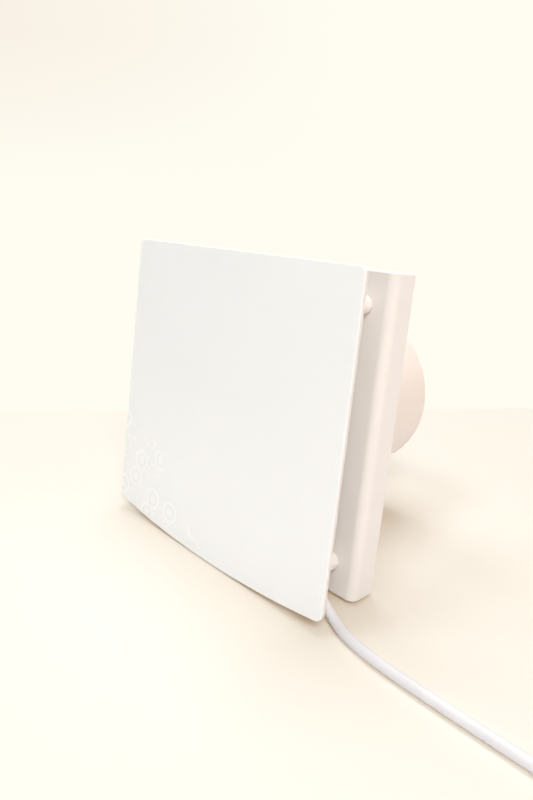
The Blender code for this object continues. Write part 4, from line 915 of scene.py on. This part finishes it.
# Damper frame. A ring with an upright bar across it, moulded in white ABS and pressed into the spigot.
# The seat inside the ring stops the flaps, and lugs on the bar hold the hinge pin.
HINGE = (0, 86.1, 0)
RING_FRONT = 79.8
RING_BACK = 91.8
RING_RADIUS = DUCT_BORE - 0.3
RING_BORE = 44.9
STOP_BACK = 85.2
STOP_RADIUS = 42.5
BARREL_RADIUS = 3
ring = [(RING_RADIUS, RING_FRONT), (RING_RADIUS, RING_BACK), (RING_BORE, RING_BACK)]
ring += [(RING_BORE, STOP_BACK), (STOP_RADIUS, STOP_BACK), (STOP_RADIUS, RING_FRONT)]
ring = softened(turned(ring, 160), 0.4, 3)
bar = softened(box((-4.5, RING_FRONT + 0.3, -45.4), (4.5, RING_FRONT + 3, 45.4)), 0.6, 3)
lugs = []
for low, high in ((37.9, 45.6), (-45.6, -37.9), (-3, 3)):
    barrel = softened(sleeve(0, BARREL_RADIUS, low, high, 48), 0.35, 2)
    foot = softened(box((-2.4, RING_FRONT + 2.2, low), (2.4, HINGE[1], high)), 0.3, 2)
    lugs += [moved(barrel, HINGE, 90, "X"), foot]
frame_ring = joined(ring, bar, *lugs)
add_piece("damper_ring", frame_ring, satin, "casing", "satin_white", "damper_frame")


# Damper pin. A straight pin of steel wire, cropped and rounded off at both ends. It is held in the
# frame's lugs, and the two flaps swing on it.
PIN_RADIUS = 1.5
PIN_REACH = 43.1
pin = softened(sleeve(0, PIN_RADIUS, -PIN_REACH, PIN_REACH, 32), 0.4, 2)
add_piece("hinge_pin", moved(pin, HINGE, 90, "X"), zinc, "casing", "zinc_steel", "damper_pin")


# Damper flaps. Two half-round leaves of thin white ABS with a bead round the edge and three ribs behind.
# Each turns on the pin in two barrels that stand between those of the other leaf.
LEAF_RADIUS = 44.3
BEAD_RADIUS = 43.2


def leaf():
    """The right leaf about the hinge, with X across the duct and Z along the pin."""
    end = math.acos(4 / LEAF_RADIUS)
    arc = [end * (2 * k / 64 - 1) for k in range(65)]
    outline = [(LEAF_RADIUS * math.cos(a), -0.6, LEAF_RADIUS * math.sin(a)) for a in arc]
    parts = [softened(slab(outline, (0, 1.2, 0)), 0.35, 2)]
    bead = bmesh.new()
    line = [(BEAD_RADIUS * math.cos(a), 0.5, BEAD_RADIUS * math.sin(a)) for a in arc[4:-4]]
    verts = [bead.verts.new(point) for point in line]
    for pair in zip(verts, verts[1:]):
        bead.edges.new(pair)
    pushed(bead, bmesh.ops.extrude_edge_only(bead, edges=bead.edges[:]), (0, 0.9, 0))
    bmesh.ops.recalc_face_normals(bead, faces=bead.faces)
    bmesh.ops.solidify(bead, geom=bead.faces[:], thickness=0.9)
    bmesh.ops.recalc_face_normals(bead, faces=bead.faces)
    parts.append(softened(bead, 0.25, 2, 60))
    for height in (-22, 0, 22):
        reach = math.sqrt(43**2 - height**2)
        parts.append(softened(box((7.5, 0.4, height - 0.5), (reach, 1.3, height + 0.5)), 0.25, 2))
    for low, high in ((-26, -18), (28, 36)):
        barrel = softened(sleeve(PIN_RADIUS + 0.3, BARREL_RADIUS, low, high, 40), 0.25, 2)
        parts.append(moved(barrel, (0, 0, 0), 90, "X"))
        parts.append(softened(box((2.2, -0.9, low), (6.4, 0.9, high)), 0.3, 2))
    return joined(*parts)


for name, half_turn in (("right", False), ("left", True)):
    flap = leaf()
    if half_turn:
        flap.transform(Matrix.Diagonal((-1, 1, -1, 1)))
    flap = moved(flap, HINGE)
    add_piece("flap_leaf_" + name, flap, satin, "flap_" + name, "satin_white", name + "_flap")


# Flap springs. Two small torsion springs of hard-drawn steel wire, wound on the pin between the middle
# lug and each flap's barrel, which close the flaps when the fan stops.
SPRING_RADIUS = 2.5
SPRING_TURNS = 4
SPRING_STEPS = 16


def on_fan(points):
    """Points of the leaning fan, in millimetres in the row's frame."""
    return [1000 * (FAN @ Vector(point)) for point in points]


for name, side in (("left", 1), ("right", -1)):
    wire = [(SPRING_RADIUS, HINGE[1], 3.3 * side)]
    steps = SPRING_TURNS * SPRING_STEPS
    for k in range(steps + 1):
        angle = 2 * math.pi * k / SPRING_STEPS
        across = SPRING_RADIUS * math.cos(angle)
        back = HINGE[1] + SPRING_RADIUS * math.sin(angle)
        wire.append((across, back, side * (4.1 + 12.8 * k / steps)))
    wire.append((SPRING_RADIUS, HINGE[1], 17.7 * side))
    stands_for = name + "_flap_spring"
    run_of("torsion_spring_" + name, on_fan(wire), 0.4, zinc, "casing", "zinc_steel", stands_for)


# Terminals. A black moulded block under a white ABS box that is screwed down over it. A zinc-plated
# saddle with two screws grips the cord's strain relief.
COVER_LOW = Vector((-15, 8, -79))
COVER_HIGH = Vector((20, 27.2, -60))
COVER_WALL = 1.6
black = Finish("black_phenolic")
flecks = black.noise(1.2, 3)
black_colour = black.mix(flecks, (0.028, 0.028, 0.03), (0.06, 0.06, 0.062))
black_shine = black.spread(flecks, 0.3, 0.7, 0.4, 0.6)
black.dress(black_colour, black_shine, black.dents(black.noise(0.4, 2), 0.03))
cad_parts["terminal_block"].material_slots[0].material = black.material
for name in ("cable_clamp", "clamp_screw_upper", "clamp_screw_lower"):
    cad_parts[name].material_slots[0].material = zinc.material
screw_place = (LID_SCREW[0], 0, LID_SCREW[1])
wall = Vector((COVER_WALL, COVER_WALL, COVER_WALL))
open_back = Vector((-COVER_WALL, 2.8, -COVER_WALL))
cover = softened(box(COVER_LOW, COVER_HIGH), COVER_WALL, 5, keep=lambda co: co.y < 20)
cover = carved(cover, box(COVER_LOW + wall, COVER_HIGH + open_back))
cover = carved(cover, moved(sleeve(0, STUB_RADIUS + 0.3, 10, 25, 40), CORD_HOLE, -90, "Z"))
cover = carved(cover, moved(sleeve(0, SCREW_HOLE, 5, 12, 32), screw_place))
face_y = COVER_LOW.y
fins = []
for k in range(5):
    fin = box((3 + 3 * k, face_y - 0.3, -76), (4.2 + 3 * k, face_y + 0.4, -63))
    fins.append(softened(fin, 0.25, 2))
seat_ring = sleeve(HEAD_RADIUS + 0.3, HEAD_RADIUS + 1.3, face_y - 0.4, face_y + 0.4, 40)
seat_ring = moved(softened(seat_ring, 0.2, 2), screw_place)
cover = joined(cover, seat_ring, *fins)
add_piece("terminal_box", cover, satin, "casing", "satin_white", "terminal_cover")


# Motor lead. A short round lead in white PVC, cut from the same kind of cord. It runs with a slight bow
# from the terminal box up to the motor can.
lead = []
for k in range(9):
    share = k / 8
    lead.append((0, 22 - 1.5 * math.sin(math.pi * share) ** 2, -59.8 + 25.6 * share))
run_of("lead_wire", on_fan(lead), 2, sheath, "casing", "white_cord", "motor_lead")


# Panel posts. Four round white ABS pegs on the panel's back, with a flared foot. Their thinner tips push
# into the casing's sockets, so that the panel pulls straight off for cleaning.
POST_START = 1.9
POST_END = 35.2
POST_RADIUS = 4.2
FOOT_RADIUS = 5.6
shoulder = CASING_FRONT - 0.3
tip_radius = SOCKET_RADIUS - 0.3
post = [
    (0, POST_START), (FOOT_RADIUS, POST_START), (FOOT_RADIUS, 3.1), (4.75, 3.9), (4.3, 5.2),
    (POST_RADIUS, 7), (POST_RADIUS, 15.2), (4.8, 26.6), (4.5, shoulder), (tip_radius, shoulder),
    (tip_radius, 34), (1.6, POST_END), (0, POST_END),
]
for name, x, z in POSTS:
    peg = moved(softened(turned(post, 64), 0.25, 3, 30), (x, 0, z))
    add_piece("peg_" + name, peg, satin, "panel", "satin_white", "panel_post_" + name)


# Front panel. A flat sheet of glossy white ABS, its bottom edge bowed down, moulded with a thin recess
# behind. A faint tone-on-tone print of rings and dots fades out from its lower left corner.
PANEL_HALF = 85.0
PANEL_TOP = 84.4
PANEL_BOTTOM = -87.6
PANEL_BOW = 6.6
PANEL_FACE = 0.1
PANEL_BACK = 3.0
PANEL_CORNER = 4
gloss = Finish("gloss_white_abs")
across = gloss.node("ShaderNodeSeparateXYZ", {}, {"Vector": gloss.place}, "X")
upward = gloss.node("ShaderNodeSeparateXYZ", {}, {"Vector": gloss.place}, "Z")
flat = gloss.node("ShaderNodeCombineXYZ", {}, {"X": across, "Y": upward})


def scattered(size, disorder):
    """The distance to the nearest of many loosely spread points on the face, in spacings."""
    sockets = {"Vector": flat, "Scale": 1 / size, "Randomness": disorder}
    return gloss.node("ShaderNodeTexVoronoi", {"voronoi_dimensions": "2D"}, sockets)


big = scattered(19.0, 0.7)
small = scattered(7.0, 0.9)
away = gloss.node("ShaderNodeMath", {"operation": "ABSOLUTE"}, {"Value": big - 0.3})
hoops = gloss.spread(away, 0.075, 0.055)
discs = gloss.spread(big, 0.15, 0.13)
dots = gloss.spread(small, 0.17, 0.14)
corner = gloss.spread(0.9 * (across + PANEL_HALF) + 1.25 * (upward + 84.0), 64, 132, 1.0, 0.0)
fade = gloss.spread(upward, -86, -80)
ink = gloss.maths("MAXIMUM", hoops + discs, dots * 0.8) * corner * fade
flow = gloss.spread(gloss.noise(60, 2), 0.3, 0.7)
panel_colour = gloss.mix(flow, (0.908, 0.907, 0.9), (0.922, 0.921, 0.914))
panel_colour = gloss.mix(ink * 0.36, panel_colour, (0.94, 0.94, 0.935))
# The panel's sides, from just behind its face, are rougher and painted darker and warmer than the face as
# painted shade.
depth = gloss.node("ShaderNodeSeparateXYZ", {}, {"Vector": gloss.place}, "Y")
rough_side_painted_shade = gloss.spread(depth, 0.35, 0.75)
panel_colour = gloss.mix(rough_side_painted_shade, panel_colour, (0.79, 0.745, 0.71))
panel_shine = gloss.spread(gloss.noise(30, 3), 0.3, 0.7, 0.17, 0.23) + ink * 0.1 + rough_side_painted_shade * 0.25
gloss.dress(panel_colour, panel_shine, gloss.dents(gloss.noise(3.2, 1), 0.006), IOR=1.5)

bow = (PANEL_HALF**2 + PANEL_BOW**2) / (2 * PANEL_BOW)
reach = math.asin(PANEL_HALF / bow)
arc = [reach * k / 48 for k in (-48, *range(-45, 46), 48)]
outline = [(bow * math.sin(a), PANEL_FACE, bow + PANEL_BOTTOM - bow * math.cos(a)) for a in arc]
outline += [(PANEL_HALF, PANEL_FACE, PANEL_TOP), (-PANEL_HALF, PANEL_FACE, PANEL_TOP)]
face = slab(outline, (0, PANEL_BACK - PANEL_FACE, 0))
upright = [e for e in face.edges if abs(e.verts[0].co.y - e.verts[1].co.y) > 1]
upright = [e for e in upright if abs(abs(e.verts[0].co.x) - PANEL_HALF) < 1e-3]
bmesh.ops.bevel(face, geom=upright, offset=PANEL_CORNER, segments=10, **ROUNDED)
rear = [e for e in face.edges if all(v.co.y > PANEL_BACK - 0.01 for v in e.verts)]
bmesh.ops.bevel(face, geom=rear, offset=0.9, segments=4, **ROUNDED)
inner = [max(face.faces, key=lambda f: f.normal.y * f.calc_area())]
bmesh.ops.inset_region(face, faces=inner, thickness=2.3, use_even_offset=True)
recess = bmesh.ops.extrude_face_region(face, geom=inner)
bmesh.ops.delete(face, geom=inner, context="FACES_ONLY")
pushed(face, recess, (0, -0.9, 0))
bmesh.ops.recalc_face_normals(face, faces=face.faces)
face = softened(face, 0.5, 4, 60, keep=lambda co: co.y < PANEL_FACE + 0.01)
face = softened(face, 0.3, 3, 60, keep=lambda co: co.y > 1.5)
add_piece("panel_sheet", face, gloss, "panel", "gloss_white", "front_panel")
